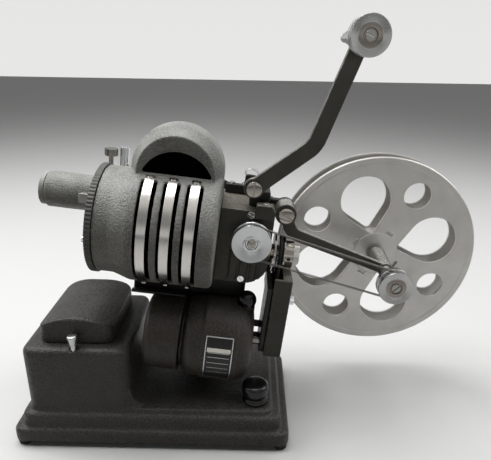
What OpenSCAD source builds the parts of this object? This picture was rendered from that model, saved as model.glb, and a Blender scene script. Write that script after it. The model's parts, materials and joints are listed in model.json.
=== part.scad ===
// Table-top film projector: cast base with a raised box, tilting head with a
// drum lamphouse, lens tube, gearbox, motor, two reel arms and one reel.
// World frame: X to the right, Y to the back, Z up, origin under the base's centre.
// The head's own frame: x along the optical axis, origin at head_z, turned by head_tilt.

/* [Base] */
// Length of the base along X
base_len = 222; // [210:1:240]
// Depth of the base along Y
base_dep = 112; // [106:1:124]
// Corner radius of the base's foot flange
base_corner_r = 8; // [5:0.5:12]
// Height of the rubber feet
foot_h = 4; // [2:0.5:6]
// Radius of a rubber foot
foot_r = 6; // [4:0.5:7]
// Height of the foot flange
flange_h = 12.5; // [9:0.5:15]
// Height of the step above the flange
step_h = 12.5; // [9:0.5:14]
// Height of the deck above the step
deck_rise = 4; // [3:0.5:6]
// Length of the raised box along X
box_len = 83.5; // [78:0.5:86]
// Height of the raised box above the deck
box_h = 53.5; // [50:0.5:56]
// Wall of the base casting
base_wall = 4; // [3:0.5:5]
// Length of the domed cover along X
cover_len = 57.5; // [52:0.5:60]
// Depth of the domed cover along Y
cover_dep = 72; // [64:1:76]
// Height of the domed cover's straight sides
cover_side_h = 14; // [10:0.5:16]
// Height of the domed cover at its crown
cover_h = 22; // [19:0.5:24]

/* [Head frame] */
// Height of the head's origin above the table
head_z = 173; // [168:0.5:178]
// Tilt of the optical axis, lens end up
head_tilt = 6.3; // [4:0.1:7]
// Height of the tilt pivot above the table
pivot_z = 95; // [92:0.5:98]
// Place of the tilt pivot along X
pivot_x = 30; // [28:0.5:32]
// Radius of the tilt pivot stud
pivot_r = 4; // [3:0.5:5]

/* [Lamphouse] */
// Radius of the lamphouse drum
drum_r = 45.3; // [44:0.1:46]
// Radius of the drum's narrow left part
neck_r = 41; // [39:0.5:42]
// Wall of the lamphouse casting
drum_wall = 3; // [2:0.25:4]
// Radius of the arched hood
hood_r = 34.5; // [32:0.5:35]
// Width of one cooling strip
strip_w = 6.5; // [5:0.5:7.5]
// Pitch of the cooling strips
strip_pitch = 16.5; // [15.5:0.5:17]
// Thickness of a cooling strip
strip_t = 1; // [0.8:0.1:1.4]
// Width of the slot behind a strip
slot_w = 11.5; // [10:0.5:12.5]
// Thickness of the knurled rim of the end cover
rim_t = 4.4; // [3.5:0.1:5.5]

/* [Optics] */
// Outer radius of the lens sleeve
sleeve_r = 16.2; // [15.5:0.1:17]
// Radius of the sliding lens barrel
barrel_r = 13; // [12:0.1:13.6]
// Distance of the film's middle line from the head's middle plane
film_y = 59.5; // [59:0.1:60.5]
// Height of the optical axis in the head's frame
optic_z = -0.5; // [-1:0.1:0.5]
// Radius of the condenser lenses
condenser_r = 14.8; // [13:0.1:15.5]

/* [Gearbox] */
// Height of the gearbox
gear_h = 62; // [60:0.5:64]
// Width of the gearbox
gear_w = 42.5; // [41:0.5:43.5]
// Wall of the gearbox casting
gear_wall = 4; // [3:0.25:5]
// Radius of the cross shaft
shaft_r = 3; // [2.5:0.25:3.5]
// Radius of the front belt pulley
pulley_r = 15.4; // [14.4:0.2:15.6]
// Number of teeth on the film sprocket
sprocket_n = 12; // [8:1:12]

/* [Motor] */
// Radius of the motor's body
motor_r = 33.3; // [32:0.1:33.6]
// Radius of the fan housing
fan_r = 30.6; // [29.5:0.1:31.5]
// Height of the motor band above the motor's body
band_t = 1.2; // [0.8:0.1:1.3]
// Width of the motor band
band_w = 28; // [25:0.5:29]

/* [Reel arms] */
// Thickness of both reel arms
arm_t = 5; // [4:0.25:5.5]
// Width of the upper arm
upper_arm_w = 13; // [11:0.25:14]
// Width of the lower arm at its pivot end
lower_arm_w = 12; // [10:0.25:13]
// Radius of the reel spindles
spindle_r = 3; // [2.5:0.1:3.2]
// Radius of the belt pulleys on the spindles
small_pulley_r = 13.6; // [12.5:0.1:14.5]
// Radius of the round belt's section
belt_r = 0.9; // [0.7:0.05:1]

/* [Reel] */
// Outer radius of the reel
reel_r = 89; // [85:0.5:89]
// Thickness of one reel flange
flange_t = 1.8; // [1.4:0.1:2.2]
// Radius of the reel seat on a spindle
seat_r = 3.9; // [3.8:0.05:4]
// Gap between the two reel flanges
reel_gap = 15.2; // [14.8:0.1:15.6]
// Radius of the reel's core
core_r = 19; // [17:0.5:20]
// Radius of the large teardrop openings
tear_r = 22; // [20:0.5:23]
// Radius of the small round openings
hole_r = 12; // [10:0.5:13]

/* [Controls] */
// Radius of the speed knob's cap
knob_r = 10.9; // [9.5:0.1:11.2]
// Height of the speed knob
knob_h = 17.5; // [16:0.5:18]
// Travel of the chrome push button
button_travel = 3; // [2:0.25:4]

/* [Hidden] */
$fn = 64;
HULL_FN = 28;
// Clearances: sliding fits, shafts in bores, and gaps between bodies
slide_c = 0.05;
run_c = 0.06;
gap = 0.3;
belt_c = 0.4;

// Base levels and edges
z_flange = foot_h + flange_h;
z_step = z_flange + step_h;
z_deck = z_step + deck_rise;
z_box = z_deck + box_h;
step_in = [7, 3.5];
deck_in = [14, 7.5];
box_x0 = -base_len / 2 + 12;
box_x1 = box_x0 + box_len;
box_y0 = -base_dep / 2 + 8;
box_y1 = base_dep / 2 - 10;
fillet_r = 14;
cover_x = box_x0 + 41.2;
cover_y = -2;
cover_wall = 3;
cover_rear_r = 5;
cover_plan_r = 7;
cover_front_r = 3.5;
foot_in = 7;
plate_t = 1.5;
plate_in = 8;
button_at = [cover_x, cover_y - cover_dep / 2 - 5.5];
button_stem_r = 2.4;
knob_at = [base_len / 2 - 27.8, -base_dep / 2 + 22.5];
knob_stem_r = 3;
rheostat_r = 9.5;
inlet_at = [60, z_step - 6.5];
inlet_r = 5.5;
inlet_len = 14;

// Lamphouse stations along the head's x axis, and the drum's axis
pad_y = film_y - 18;
drum_y = pad_y - drum_r - 1.2;
drum_z = 3;
neck_x0 = -35.5;
neck_x1 = -24;
drum_x0 = -11;
drum_x1 = 51.5;
edge_c = 3.5;
hood_x = drum_x1 - hood_r;
hood_z = 47;
hood_ys = [-21, -9, 10, 23];
hood_rs = [hood_r - 6, hood_r, hood_r, hood_r - 8];
hood_foot_z = 22;
vent_r = 27.8;
vent_drop = 10.6;
baffle_y = -15.8;
strip_n = 3;
slot_lo = -60;
slot_hi = 63;
strip_over = 5;
rivet_r = 0.8;
lamp_x = hood_x;
lamp_y = -2;
socket_r = 10;
socket_z = drum_z - drum_r + 6.3;
socket_stem_r = 7;
lip_r = neck_r - drum_wall - 0.15;
lip_len = 5;

// Mechanism plate, gate and lens
plate_y0 = pad_y;
plate_y1 = plate_y0 + 4;
plate_x0 = -42;
tube_hole_r = condenser_r + 1.3;
mirror_x = lamp_x;
mirror_box_x = [mirror_x - 13, mirror_x + 13];
gate_x = -10;
gate_t = 6;
gate_h = 44;
press_t = 2;
sleeve_x0 = -104;
sleeve_x1 = -18;
barrel_out = 5;
barrel_len = 72;
barrel_wall = 1.8;
focus_at = [-49, 55];
plunger_at = [-36.8, 54];
plunger_r = 4.2;
claw_stroke = 7.6;
claw_pin_r = 1.2;

// Gearbox, shafts and gears
gear_x0 = drum_x1;
gear_x1 = gear_x0 + gear_w;
gear_z1 = 23;
gear_z0 = gear_z1 - gear_h;
gear_y0 = -6;
gear_round = 18;
cross_at = [78, 1.3];
belt_y = -15.4;
worm_y = 6;
worm_wheel_r = 10.5;
worm_r = 4.5;
worm_z = cross_at[1] - worm_wheel_r - worm_r - gap;
bush_r = 6;
shutter_at = [42, optic_z];
shutter_r = 30;
train_y = plate_y1 - 2.7;
train_t = 2.2;
train_r = [8.9, 10];
train_c = 0.15;
drive_at = [60.95, -4];
helical_r = [drive_at[1] - worm_z - 5.2 - train_c, 5.2];
sprocket_r = 14.5;
screw_head_r = 2.7;

// Right-hand shaft stack and belt guard
ring_r = 15.4;
hub_r = 11;
hub_w = 7.5;
knurl_r = 7.8;
ring_x = gear_x1 + 6.8;
ring_w = 4.2;
ring_belt_r = ring_r - 1.9 + belt_r;
guard_x0 = gear_x1 + 6.5;
guard_x1 = gear_x1 + 21;
guard_y = [-16.5, 20];
guard_z = [-99, -28];
guard_wall = 2;

// Motor
motor_y = -8;
motor_z = -90.4;
fan_x0 = 2.5;
fan_x1 = 31;
motor_x0 = 34;
motor_x1 = 89.5;
motor_wall = 3.5;
motor_round = 12;
band_x0 = 49.3;
motor_shaft_r = 3;
motor_pulley_r = 5;
motor_belt_r = motor_pulley_r - 1.3 + belt_r;
cap_r = 8;
cap_x = motor_x1 - 8;
cap_turn = 176;
cap_out = 3;
plate_phi = [-34, 33];

// Cradle, tilt pivot in the head's frame, and column
pivot_u = pivot_x * cos(head_tilt) - (pivot_z - head_z) * sin(head_tilt);
pivot_w = pivot_x * sin(head_tilt) + (pivot_z - head_z) * cos(head_tilt);
leg_y0 = 27.2;
leg_y1 = 35.5;
leg_r = 13;
column_y0 = leg_y1 + gap;
column_y1 = 44.5;
column_r = 17;
tilt_knob_y = column_y1 + 0.5;

// Reel arms: pivots, bends and spindles in the head's x and z
up_pivot = [75, 39];
up_bend = [115.8, 76.9];
up_end = [135.7, 156];
up_y0 = 0;
low_pivot = [103, 20.3];
low_bend = [110.9, 1];
low_end = [194.7, -21.3];
low_y0 = 14;
low_end_w = 8.5;
bend_r = 21;
lug_r = 8.2;
bar_y = 34.5;
bar_w = 6;
bar_z = 31;
thumb_z = 47.5;
lug_y1 = [10, 25];
boss_r = 7;
pivot_screw_r = 3;
pivot_head_r = 6.2;
pulley_y = [-20.6, -9];
groove_r = small_pulley_r - 3.4;
drive_groove_r = pulley_r - 3.4;
reel_y0 = 50;
reel_w = 2 * flange_t + reel_gap;
spindle_y1 = reel_y0 + reel_w + 6;
tear_turn = 15 + head_tilt;
tear_at = 51.5;
hole_at = 63;
core_bore_c = 0.06;

// Outlines: an arc, a rounded rectangle, the band round two circles, a bent strip
function arc(c, r, a0, a1, n) = [for (i = [0:n])
    let (a = a0 + (a1 - a0) * i / n) c + r * [cos(a), sin(a)]];

function round_rect(x0, x1, y0, y1, r) = concat(
    arc([x1 - r, y1 - r], r, 0, 90, 8), arc([x0 + r, y1 - r], r, 90, 180, 8),
    arc([x0 + r, y0 + r], r, 180, 270, 8), arc([x1 - r, y0 + r], r, 270, 360, 8));

function two_round(c1, r1, c2, r2, n = 24) =
    let (d = c2 - c1, a = atan2(d[1], d[0]), b = acos((r1 - r2) / norm(d)))
    concat(arc(c1, r1, a + b, a + 360 - b, n), arc(c2, r2, a - b, a + b, n));

function side(p, d, w) = p + w / 2 * [-d[1], d[0]];

// Strip of width w0 at p0 and w2 at p2, bent with middle radius r round p1
function bent_strip(p0, p1, p2, r, w0, w2, n = 12) =
    let (d1 = (p1 - p0) / norm(p1 - p0), d2 = (p2 - p1) / norm(p2 - p1),
        a1 = atan2(d1[1], d1[0]), turn = atan2(d1[0] * d2[1] - d1[1] * d2[0], d1 * d2),
        s = sign(turn), w1 = (w0 + w2) / 2,
        c = p1 - d1 * r * tan(abs(turn) / 2) + s * r * [-d1[1], d1[0]])
    concat([side(p0, d1, w0)], arc(c, r - s * w1 / 2, a1 - s * 90, a1 - s * 90 + turn, n),
        [side(p2, d2, w2), side(p2, d2, -w2)],
        arc(c, r + s * w1 / 2, a1 - s * 90 + turn, a1 - s * 90, n), [side(p0, d1, -w0)]);

function flip(points) = [for (p = points) [p[0], -p[1]]];

// Frames and small shared shapes
module in_head() translate([0, 0, head_z]) rotate([0, head_tilt, 0]) children();
module along_x(x, y, z) translate([x, y, z]) rotate([0, 90, 0]) children();
module along_y(x, y, z) translate([x, y, z]) rotate([-90, 0, 0]) children();

// Outline given in x and z, as a plate from y0 to y1
module plate_xz(points, y0, y1)
    along_y(0, y0, 0) linear_extrude(y1 - y0) polygon(flip(points));

module slab(x0, x1, z0, z1, y0, y1, r) plate_xz(round_rect(x0, x1, z0, z1, r), y0, y1);

// Outline given in y and z, as a plate from x0 to x1
module plate_yz(points, x0, x1)
    translate([x0, 0, 0]) rotate([90, 0, 90]) linear_extrude(x1 - x0) polygon(points);

// Sector of a ring about the x axis; phi 0 points to the front and 90 points up
module sector_x(r0, r1, len, phi0, phi1)
    rotate([0, 90, 0]) rotate([0, 0, -90 - phi1])
        rotate_extrude(angle = phi1 - phi0) translate([r0, 0]) square([r1 - r0, len]);

// Disc with n straight-sided ridges round its rim
module knurled(r, h, n, depth)
    linear_extrude(h) polygon([for (i = [0:2 * n - 1])
        let (a = i * 180 / n, q = r - (i % 2) * depth) [q * cos(a), q * sin(a)]]);

// Block with rounded upright corners and a rounded top edge
module soft_block(x0, x1, y0, y1, z0, z1, rc, rt)
    hull()
        for (x = [x0 + rc, x1 - rc], y = [y0 + rc, y1 - rc]) translate([x, y, 0]) {
            translate([0, 0, z0]) cylinder(r = rc, h = z1 - rt - z0, $fn = HULL_FN);
            translate([0, 0, z1 - rt]) rotate_extrude($fn = HULL_FN) intersection() {
                translate([rc - rt, 0]) circle(r = rt, $fn = 16);
                square([rc, rt]);
            }
        }

// Slotted screw: head up from z = 0, shank below it
module slotted_screw(head_r, head_h, shank_r, shank_l, turn)
    difference() {
        union() {
            cylinder(r = head_r, h = head_h);
            translate([0, 0, -shank_l]) cylinder(r = shank_r, h = shank_l + 0.5);
        }
        rotate([0, 0, turn]) translate([-head_r - 1, -head_r * 0.13, head_h * 0.55])
            cube([2 * head_r + 2, head_r * 0.26, head_h]);
    }

// Pulley on a shaft along y, with a V groove in the belt's plane and a dished front
module pulley(r, bottom_r, bore_r, y0, y1)
    along_y(0, 0, 0) rotate_extrude() polygon([[bore_r, y0 + 1.5], [4.8, y0 + 1.5],
        [5.1, y0 + 0.7], [6.3, y0 + 0.7], [6.4, y0 + 1.1], [r - 0.8, y0], [r, y0 + 0.7],
        [r, belt_y - 1.8],
        [bottom_r, belt_y - 0.8], [bottom_r, belt_y + 0.8], [r, belt_y + 1.8],
        [r, y1 - 1], [r - 1, y1], [bore_r, y1]]);

module base_block(in, z0, z1, rt)
    soft_block(-base_len / 2 + in[0], base_len / 2 - in[0], -base_dep / 2 + in[1],
        base_dep / 2 - in[1], z0, z1, base_corner_r, rt);

module base_casting() color("#2f2d2b")
    difference() {
        union() {
            base_block([0, 0], foot_h, z_flange, 3);
            base_block(step_in, z_flange - 4, z_step, 3.5);
            base_block(deck_in, z_step - 4, z_deck, 2);
            soft_block(box_x0, box_x1, box_y0, box_y1, z_step - 4, z_box, 9, 5);
            difference() {
                translate([0, 0, z_deck - 1]) linear_extrude(fillet_r + 1)
                    polygon(concat([[box_x1 - 2, box_y1 - 2], [box_x1 - 2, box_y0 + 2]],
                        arc([box_x1 - 2, box_y0 + 4 + fillet_r], fillet_r + 2, -90, 0, 10),
                        arc([box_x1 - 2, box_y1 - 4 - fillet_r], fillet_r + 2, 0, 90, 10)));
                along_y(box_x1 + fillet_r, box_y0 - 1, z_deck + fillet_r)
                    cylinder(r = fillet_r, h = box_y1 - box_y0 + 2);
            }
        }
        base_cavity(base_len / 2 - deck_in[0] - base_wall, base_dep / 2 - deck_in[1] - base_wall);
        translate([box_x0 + base_wall, box_y0 + base_wall, foot_h - 1])
            cube([box_len - 2 * base_wall, box_y1 - box_y0 - 2 * base_wall,
                z_box - base_wall - foot_h + 1]);
        translate([0, 0, foot_h - 1]) plate_shape(0, plate_t + 1);
        translate([knob_at[0], knob_at[1], z_deck - 10])
            cylinder(r = knob_stem_r + run_c, h = 20);
        translate([button_at[0], button_at[1], z_box - 12])
            cylinder(r = button_stem_r + slide_c, h = 20);
        along_y(inlet_at[0], base_dep / 2 - 20, inlet_at[1])
            cylinder(r = inlet_r + slide_c, h = 30);
    }

module base_cavity(x, y)
    translate([-x, -y, foot_h - 1]) cube([2 * x, 2 * y, z_deck - base_wall - foot_h + 1]);

module plate_shape(c, h)
    translate([-base_len / 2 + plate_in + c, -base_dep / 2 + plate_in + c, 0])
        cube([base_len - 2 * plate_in - 2 * c, base_dep - 2 * plate_in - 2 * c, h]);

module bottom_plate() color("dimgray")
    difference() {
        translate([0, 0, foot_h]) plate_shape(slide_c, plate_t);
        for (i = [0:6]) translate([cover_x - 40 + i * 12, -18, 0]) cube([4, 36, 20]);
    }

// Four feet under the corners and one under the middle of the bottom plate
module rubber_feet() color("#1a1a1a")
    for (p = concat([for (sx = [-1, 1], sy = [-1, 1])
        [sx * (base_len / 2 - foot_in), sy * (base_dep / 2 - foot_in), 0]], [[0, 0, 0]]))
        translate(p) cylinder(r1 = foot_r - 0.6, r2 = foot_r, h = foot_h);

// Loaf-shaped cover on the raised box
module resistor_cover() color("#2f2d2b")
    translate([cover_x, cover_y, z_box]) difference() {
        cover_shape(0);
        translate([0, 0, -0.2]) cover_shape(cover_wall);
    }

// Arched section along y, cut by a side outline with rounded ends and by a plan with round corners
module cover_shape(in) {
    half = cover_len / 2 - in;
    rise = cover_h - cover_side_h;
    arch_r = (pow(cover_len / 2, 2) + rise * rise) / (2 * rise);
    span = asin(half / (arch_r - in));
    y0 = -cover_dep / 2 + in;
    y1 = cover_dep / 2 - in;
    top = cover_h - in;
    intersection() {
        translate([0, y1, 0]) rotate([90, 0, 0]) linear_extrude(y1 - y0)
            polygon(concat([[-half, 0], [half, 0]],
                arc([0, cover_h - arch_r], arch_r - in, 90 - span, 90 + span, 16)));
        plate_yz(concat([[y0, 0], [y1, 0]],
            arc([y1 - cover_rear_r, top - cover_rear_r], cover_rear_r, 0, 90, 10),
            arc([y0 + cover_front_r, top - cover_front_r], cover_front_r, 90, 180, 5)),
            -half - 1, half + 1);
        linear_extrude(cover_h) polygon(round_rect(-half, half, y0, y1, cover_plan_r - in));
    }
}

module transformer() color("#5a4a38")
    translate([cover_x, 0, foot_h + plate_t]) {
        difference() {
            translate([-25, -12, 0]) cube([50, 24, 46]);
            for (x = [-15, 5]) translate([x, -13, 8]) cube([10, 26, 30]);
        }
        difference() {
            translate([-14.8, -20, 8.2]) cube([29.6, 40, 29.6]);
            translate([-5.2, -12.2, 0]) cube([10.4, 24.4, 60]);
        }
    }

// Rheostat ring under the speed knob, and the ballast tube under the domed cover
module resistors() color("#3a2f28") {
    difference() {
        translate([knob_at[0], knob_at[1], z_deck - base_wall - 12])
            cylinder(r = rheostat_r, h = 12);
        translate([knob_at[0], knob_at[1], 0]) cylinder(r = knob_stem_r + run_c, h = 60);
    }
    along_y(cover_x, cover_y - 24, z_box + 9) cylinder(r = 6, h = 44);
    for (y = [-26, 20]) translate([cover_x - 7, cover_y + y, z_box]) cube([14, 3, 15]);
}

module mains_inlet() color("#161412")
    along_y(inlet_at[0], base_dep / 2 - inlet_len, inlet_at[1]) {
        difference() {
            cylinder(r = inlet_r, h = inlet_len - 1);
            translate([0, 0, 3]) cylinder(r = inlet_r - 1.2, h = inlet_len);
        }
        for (s = [-1, 1]) translate([s * 2, 0, 2]) cylinder(r = 0.9, h = inlet_len - 4);
    }

// Post behind the motor that carries the head on its pivot stud
module support_column() color("#1d1c1b") {
    difference() {
        union() {
            translate([pivot_x - 24, column_y0, z_deck])
                cube([48, base_dep / 2 - deck_in[1] - 2.5 - column_y0, 5]);
            translate([pivot_x - column_r, column_y0, z_deck])
                cube([2 * column_r, column_y1 - column_y0, pivot_z - z_deck]);
            along_y(pivot_x, column_y0, pivot_z)
                cylinder(r = column_r, h = column_y1 - column_y0);
        }
        along_y(pivot_x, column_y0 - 2, pivot_z) cylinder(r = pivot_r, h = 20);
    }
    along_y(pivot_x, leg_y0 + 1, pivot_z) cylinder(r = pivot_r, h = tilt_knob_y + 7 - leg_y0);
}

module tilt_knob() color("#141414")
    along_y(pivot_x, tilt_knob_y, pivot_z) difference() {
        union() {
            cylinder(r = 7, h = 3.2);
            translate([0, 0, 3]) knurled(10, 8, 24, 0.7);
        }
        translate([0, 0, -1]) cylinder(r = pivot_r + run_c, h = 9.6);
    }

// Black speed knob on the deck
module rheostat_knob() color("#0f0f10")
    translate([knob_at[0], knob_at[1], z_deck]) rotate_extrude() polygon([
        [0, -base_wall - 10], [knob_stem_r, -base_wall - 10], [knob_stem_r, gap],
        [knob_r - 1.2, gap], [knob_r - 0.6, 1.2], [knob_r - 0.8, 2.4], [knob_r - 2, 4],
        [knob_r - 2.2, 5.2], [knob_r - 1.9, 6.6], [knob_r - 0.4, knob_h - 7],
        [knob_r, knob_h - 5.6], [knob_r, knob_h - 2.6], [knob_r - 0.5, knob_h - 1.2],
        [knob_r - 1.6, knob_h - 0.3], [knob_r - 3.5, knob_h],
        [0, knob_h]]);

module power_button() color("silver")
    translate([button_at[0], button_at[1], z_box]) rotate_extrude() polygon([[0, -7],
        [button_stem_r, -7], [button_stem_r, button_travel], [3.2, button_travel + 0.2],
        [3.5, button_travel + 3], [4.1, button_travel + 6], [4, button_travel + 7],
        [3, button_travel + 7.8], [1.5, button_travel + 8.2], [0, button_travel + 8.3]]);

// Drum lamphouse with its hood, cooling slots and half-moon vent
module hood_shape(in) {
    ys = [for (i = [0:3]) hood_ys[i] + (i < 2 ? in : -in)];
    rs = [for (r = hood_rs) r - in];
    along_y(hood_x, 0, hood_z) rotate([0, 0, 180]) rotate_extrude(angle = 180)
        polygon(concat([for (i = [0:3]) [rs[i], ys[i]]], [[0, ys[3]], [0, ys[0]]]));
    translate([hood_x, 0, hood_foot_z]) linear_extrude(hood_z - hood_foot_z)
        polygon(concat([for (i = [0:3]) [rs[i], ys[i]]], [for (i = [3:-1:0]) [-rs[i], ys[i]]]));
}

module drum_shape(r0, r1, x0, x1, c)
    along_x(0, drum_y, drum_z) rotate_extrude($fn = 96) polygon([[0, x0], [r0, x0],
        [r0, neck_x1 + c], [r1, drum_x0 + c], [r1, x1 - edge_c],
        [r1 - edge_c * 0.3, x1 - edge_c * 0.3], [r1 - edge_c, x1], [0, x1]]);

module lamphouse() color("#77776f")
    in_head() difference() {
        union() {
            drum_shape(neck_r, drum_r, neck_x0, drum_x1, 0);
            hood_shape(0);
            translate([-30, 24, -20]) cube([76, pad_y - 24, 46]);
        }
        drum_shape(neck_r - drum_wall, drum_r - drum_wall, neck_x0 - 1, drum_x1 - drum_wall, 0.6);
        hood_shape(drum_wall);
        intersection() {
            along_y(hood_x + 1, hood_ys[0] - 5, hood_z - vent_drop)
                cylinder(r = vent_r, h = 14);
            translate([hood_x - 40, hood_ys[0] - 6, hood_z]) cube([80, 20, 40]);
        }
        for (i = [0:strip_n - 1]) {
            translate([i * strip_pitch - slot_w / 2, drum_y, drum_z])
                sector_x(drum_r - drum_wall - 1.5, drum_r + 3, slot_w, slot_lo, slot_hi);
            rivet_holes(i);
        }
        along_y(lamp_x, 10, optic_z) cylinder(r = tube_hole_r + 0.2, h = 40);
        translate([lamp_x, lamp_y, -60]) cylinder(r = socket_stem_r + slide_c, h = 30);
    }

// Rivet axes at both ends of strip i
module rivet_holes(i)
    for (phi = [slot_lo - strip_over / 2, slot_hi + strip_over / 2])
        at_strip(i, phi) translate([0, 0, -4]) cylinder(r = rivet_r, h = 8);

module at_strip(i, phi)
    translate([i * strip_pitch, drum_y, drum_z]) rotate([-phi, 0, 0])
        along_y(0, -drum_r, 0) children();

module cooling_strips() in_head() {
    color("gainsboro") for (i = [0:strip_n - 1]) difference() {
        translate([i * strip_pitch - strip_w / 2, drum_y, drum_z])
            sector_x(drum_r, drum_r + strip_t, strip_w, slot_lo - strip_over, slot_hi + strip_over);
        rivet_holes(i);
    }
    color("silver")
        for (i = [0:strip_n - 1], phi = [slot_lo - strip_over / 2, slot_hi + strip_over / 2])
            at_strip(i, phi) translate([0, 0, -strip_t - 0.7]) {
                cylinder(r = rivet_r + 0.7, h = 0.7);
                cylinder(r = rivet_r, h = 3.5);
            }
}

// Blackened sheet behind the slots and behind the vent
module inner_baffles() color("#0c0c0c") in_head() {
    r = drum_r - drum_wall - 0.1;
    x0 = -slot_w / 2 - 2;
    len = (strip_n - 1) * strip_pitch + slot_w + 4;
    difference() {
        translate([x0, drum_y, drum_z]) sector_x(r - 4.5, r, len, slot_lo - 4, slot_hi - 4);
        translate([x0 + 1.2, drum_y, drum_z])
            sector_x(r - 3.7, r + 1, len - 2.4, slot_lo - 2.6, slot_hi - 5.4);
    }
    intersection() {
        translate([hood_x - 30, baffle_y, 34]) cube([60, 0.8, 44]);
        along_y(hood_x, -20, hood_z) cylinder(r = hood_rs[0] - drum_wall + 0.8, h = 30);
    }
}

module lamp_socket() color("#b08d4c") in_head() translate([lamp_x, lamp_y, 0]) {
    translate([0, 0, socket_z - 6]) cylinder(r = socket_stem_r, h = 6.5);
    difference() {
        translate([0, 0, socket_z]) cylinder(r = socket_r, h = 10);
        translate([0, 0, socket_z + 2]) cylinder(r = 8.1, h = 9);
    }
    translate([0, 0, socket_z + 2]) cylinder(r = 8.1, h = 20);
}

module lamp_bulb() color("lightcyan", 0.4) in_head()
    translate([lamp_x, lamp_y, socket_z + 22]) rotate_extrude() polygon(concat(
        [[0, 0], [7.5, 0], [12.5, 9]], arc([0, 50], 12.5, 0, 90, 8)));

// Dished reflector in front of the lamp and the flat mirror that turns the light
module mirrors() color("lightgray") in_head() {
    along_y(lamp_x, -30, optic_z) rotate_extrude() polygon([[0, 0], [8, 1.1], [14, 3.6],
        [17, 5.6], [17, 6.8], [14, 4.8], [8, 2.3], [0, 1.2]]);
    intersection() {
        translate([lamp_x - 3, -27.5, -40]) cube([6, 1.2, 34]);
        along_x(0, drum_y, drum_z) cylinder(r = drum_r - drum_wall - 4.6 - gap, h = 40);
    }
    translate([mirror_x, film_y, optic_z]) rotate([0, 0, -45])
        translate([-12.5, 0, -11.5]) cube([25, 1.5, 23]);
}

module condenser_lenses() color("lightcyan", 0.5) in_head()
    for (y = [27, 36]) along_y(lamp_x, y, optic_z) intersection() {
        cylinder(r = condenser_r, h = 6);
        translate([0, 0, -20.5]) sphere(r = 26);
    }

module main_plate() color("#4a4a46") in_head()
    difference() {
        union() {
            slab(plate_x0, gear_x1, -36, gear_z1, plate_y0, plate_y1, 6);
            slab(-20, 48, 0, 33, plate_y0, plate_y1, 6);
        }
        along_x(sleeve_x0, film_y, optic_z) cylinder(r = sleeve_r + slide_c, h = sleeve_x1 - sleeve_x0);
        along_y(lamp_x, plate_y0 - 1, optic_z) cylinder(r = tube_hole_r + slide_c, h = 10);
        along_y(cross_at[0], plate_y0 - 1, cross_at[1]) cylinder(r = bush_r, h = 10);
        for (p = [shutter_at, drive_at]) along_y(p[0], plate_y0 - 1, p[1])
            cylinder(r = 2 + run_c, h = 10);
        along_y(shutter_at[0], train_y - gap, shutter_at[1]) cylinder(r = train_r[1] + 0.8, h = 10);
        along_y(drive_at[0], train_y - gap, drive_at[1]) cylinder(r = train_r[0] + 0.8, h = 10);
    }

// Condenser tube, shutter cover and the hollow box that holds the turning mirror
module mirror_box() color("#3c3c39") in_head() {
    difference() {
        along_y(lamp_x, 24, optic_z) cylinder(r = tube_hole_r, h = train_y - gap - 24);
        along_y(lamp_x, 20, optic_z) cylinder(r = condenser_r + slide_c, h = plate_y1 - 22);
        along_y(lamp_x, 20, optic_z) cylinder(r = 9, h = 40);
    }
    difference() {
        union() {
            along_y(shutter_at[0], plate_y1, shutter_at[1])
                cylinder(r = shutter_r + 1.8, h = 3.5);
            translate([mirror_box_x[0], plate_y1 + 3.5, optic_z - 14]) cube([26, 23, 28]);
        }
        along_y(shutter_at[0], plate_y1 - 1, shutter_at[1]) cylinder(r = shutter_r + 0.8, h = 3.6);
        along_y(shutter_at[0], plate_y1, shutter_at[1]) cylinder(r = 2 + run_c, h = 8);
        along_y(lamp_x, plate_y1, optic_z) cylinder(r = 7.5, h = 8);
        translate([mirror_box_x[0] + 2, plate_y1 + 5, optic_z - 11.5]) cube([22, 19.5, 23]);
        along_x(mirror_x - 20, film_y, optic_z) cylinder(r = 8, h = 12);
    }
}

// Film gate with its channel, the link to the mirror box and the claw's guide pin
module gate_block() color("#5e5e58") in_head() {
    difference() {
        union() {
            translate([gate_x, plate_y1, optic_z - gate_h / 2])
                cube([gate_t, film_y + 11 - plate_y1, gate_h]);
            translate([gate_x + gate_t - 0.5, plate_y1, 6])
                cube([mirror_box_x[0] - gate_x - gate_t + 0.5, 5, 7.5]);
            for (z = [-24, 3]) translate([gate_x + gate_t - 0.5, plate_y1, z])
                cube([4.5, 6, 2.5]);
        }
        translate([gate_x - 1, film_y - 5.1, optic_z - 3.7]) cube([gate_t + 2, 10.2, 7.4]);
        translate([gate_x - 1, film_y - 8, optic_z - gate_h / 2 - 1]) cube([1.2, 16, gate_h + 2]);
        translate([gate_x - 1, film_y - 7.6, -18.5]) cube([gate_t + 2, 2.4, 12.6]);
    }
    translate([gate_x + gate_t + 2, plate_y1 + 3.5, -24]) cylinder(r = claw_pin_r, h = 29.5);
}

module claw() color("silver") in_head()
    difference() {
        union() {
            translate([gate_x + gate_t + 0.4, plate_y1 + 1, -14.5]) cube([3.2, 8.3, 10]);
            translate([gate_x + 1.3, film_y - 7.3, -13.5]) cube([gate_t, 1.8, 1.2]);
        }
        translate([gate_x + gate_t + 2, plate_y1 + 3.5, -30])
            cylinder(r = claw_pin_r + run_c, h = 40);
    }

module pressure_plate() color("silver") in_head()
    translate([gate_x - 0.25 - press_t, film_y - 7.8, optic_z - 17]) difference() {
        cube([press_t, 15.6, 34]);
        translate([-1, 2.7, 13]) cube([press_t + 2, 10.2, 8]);
        translate([0.8, -0.1, 0]) cube([press_t, 2.7, 14]);
    }

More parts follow.
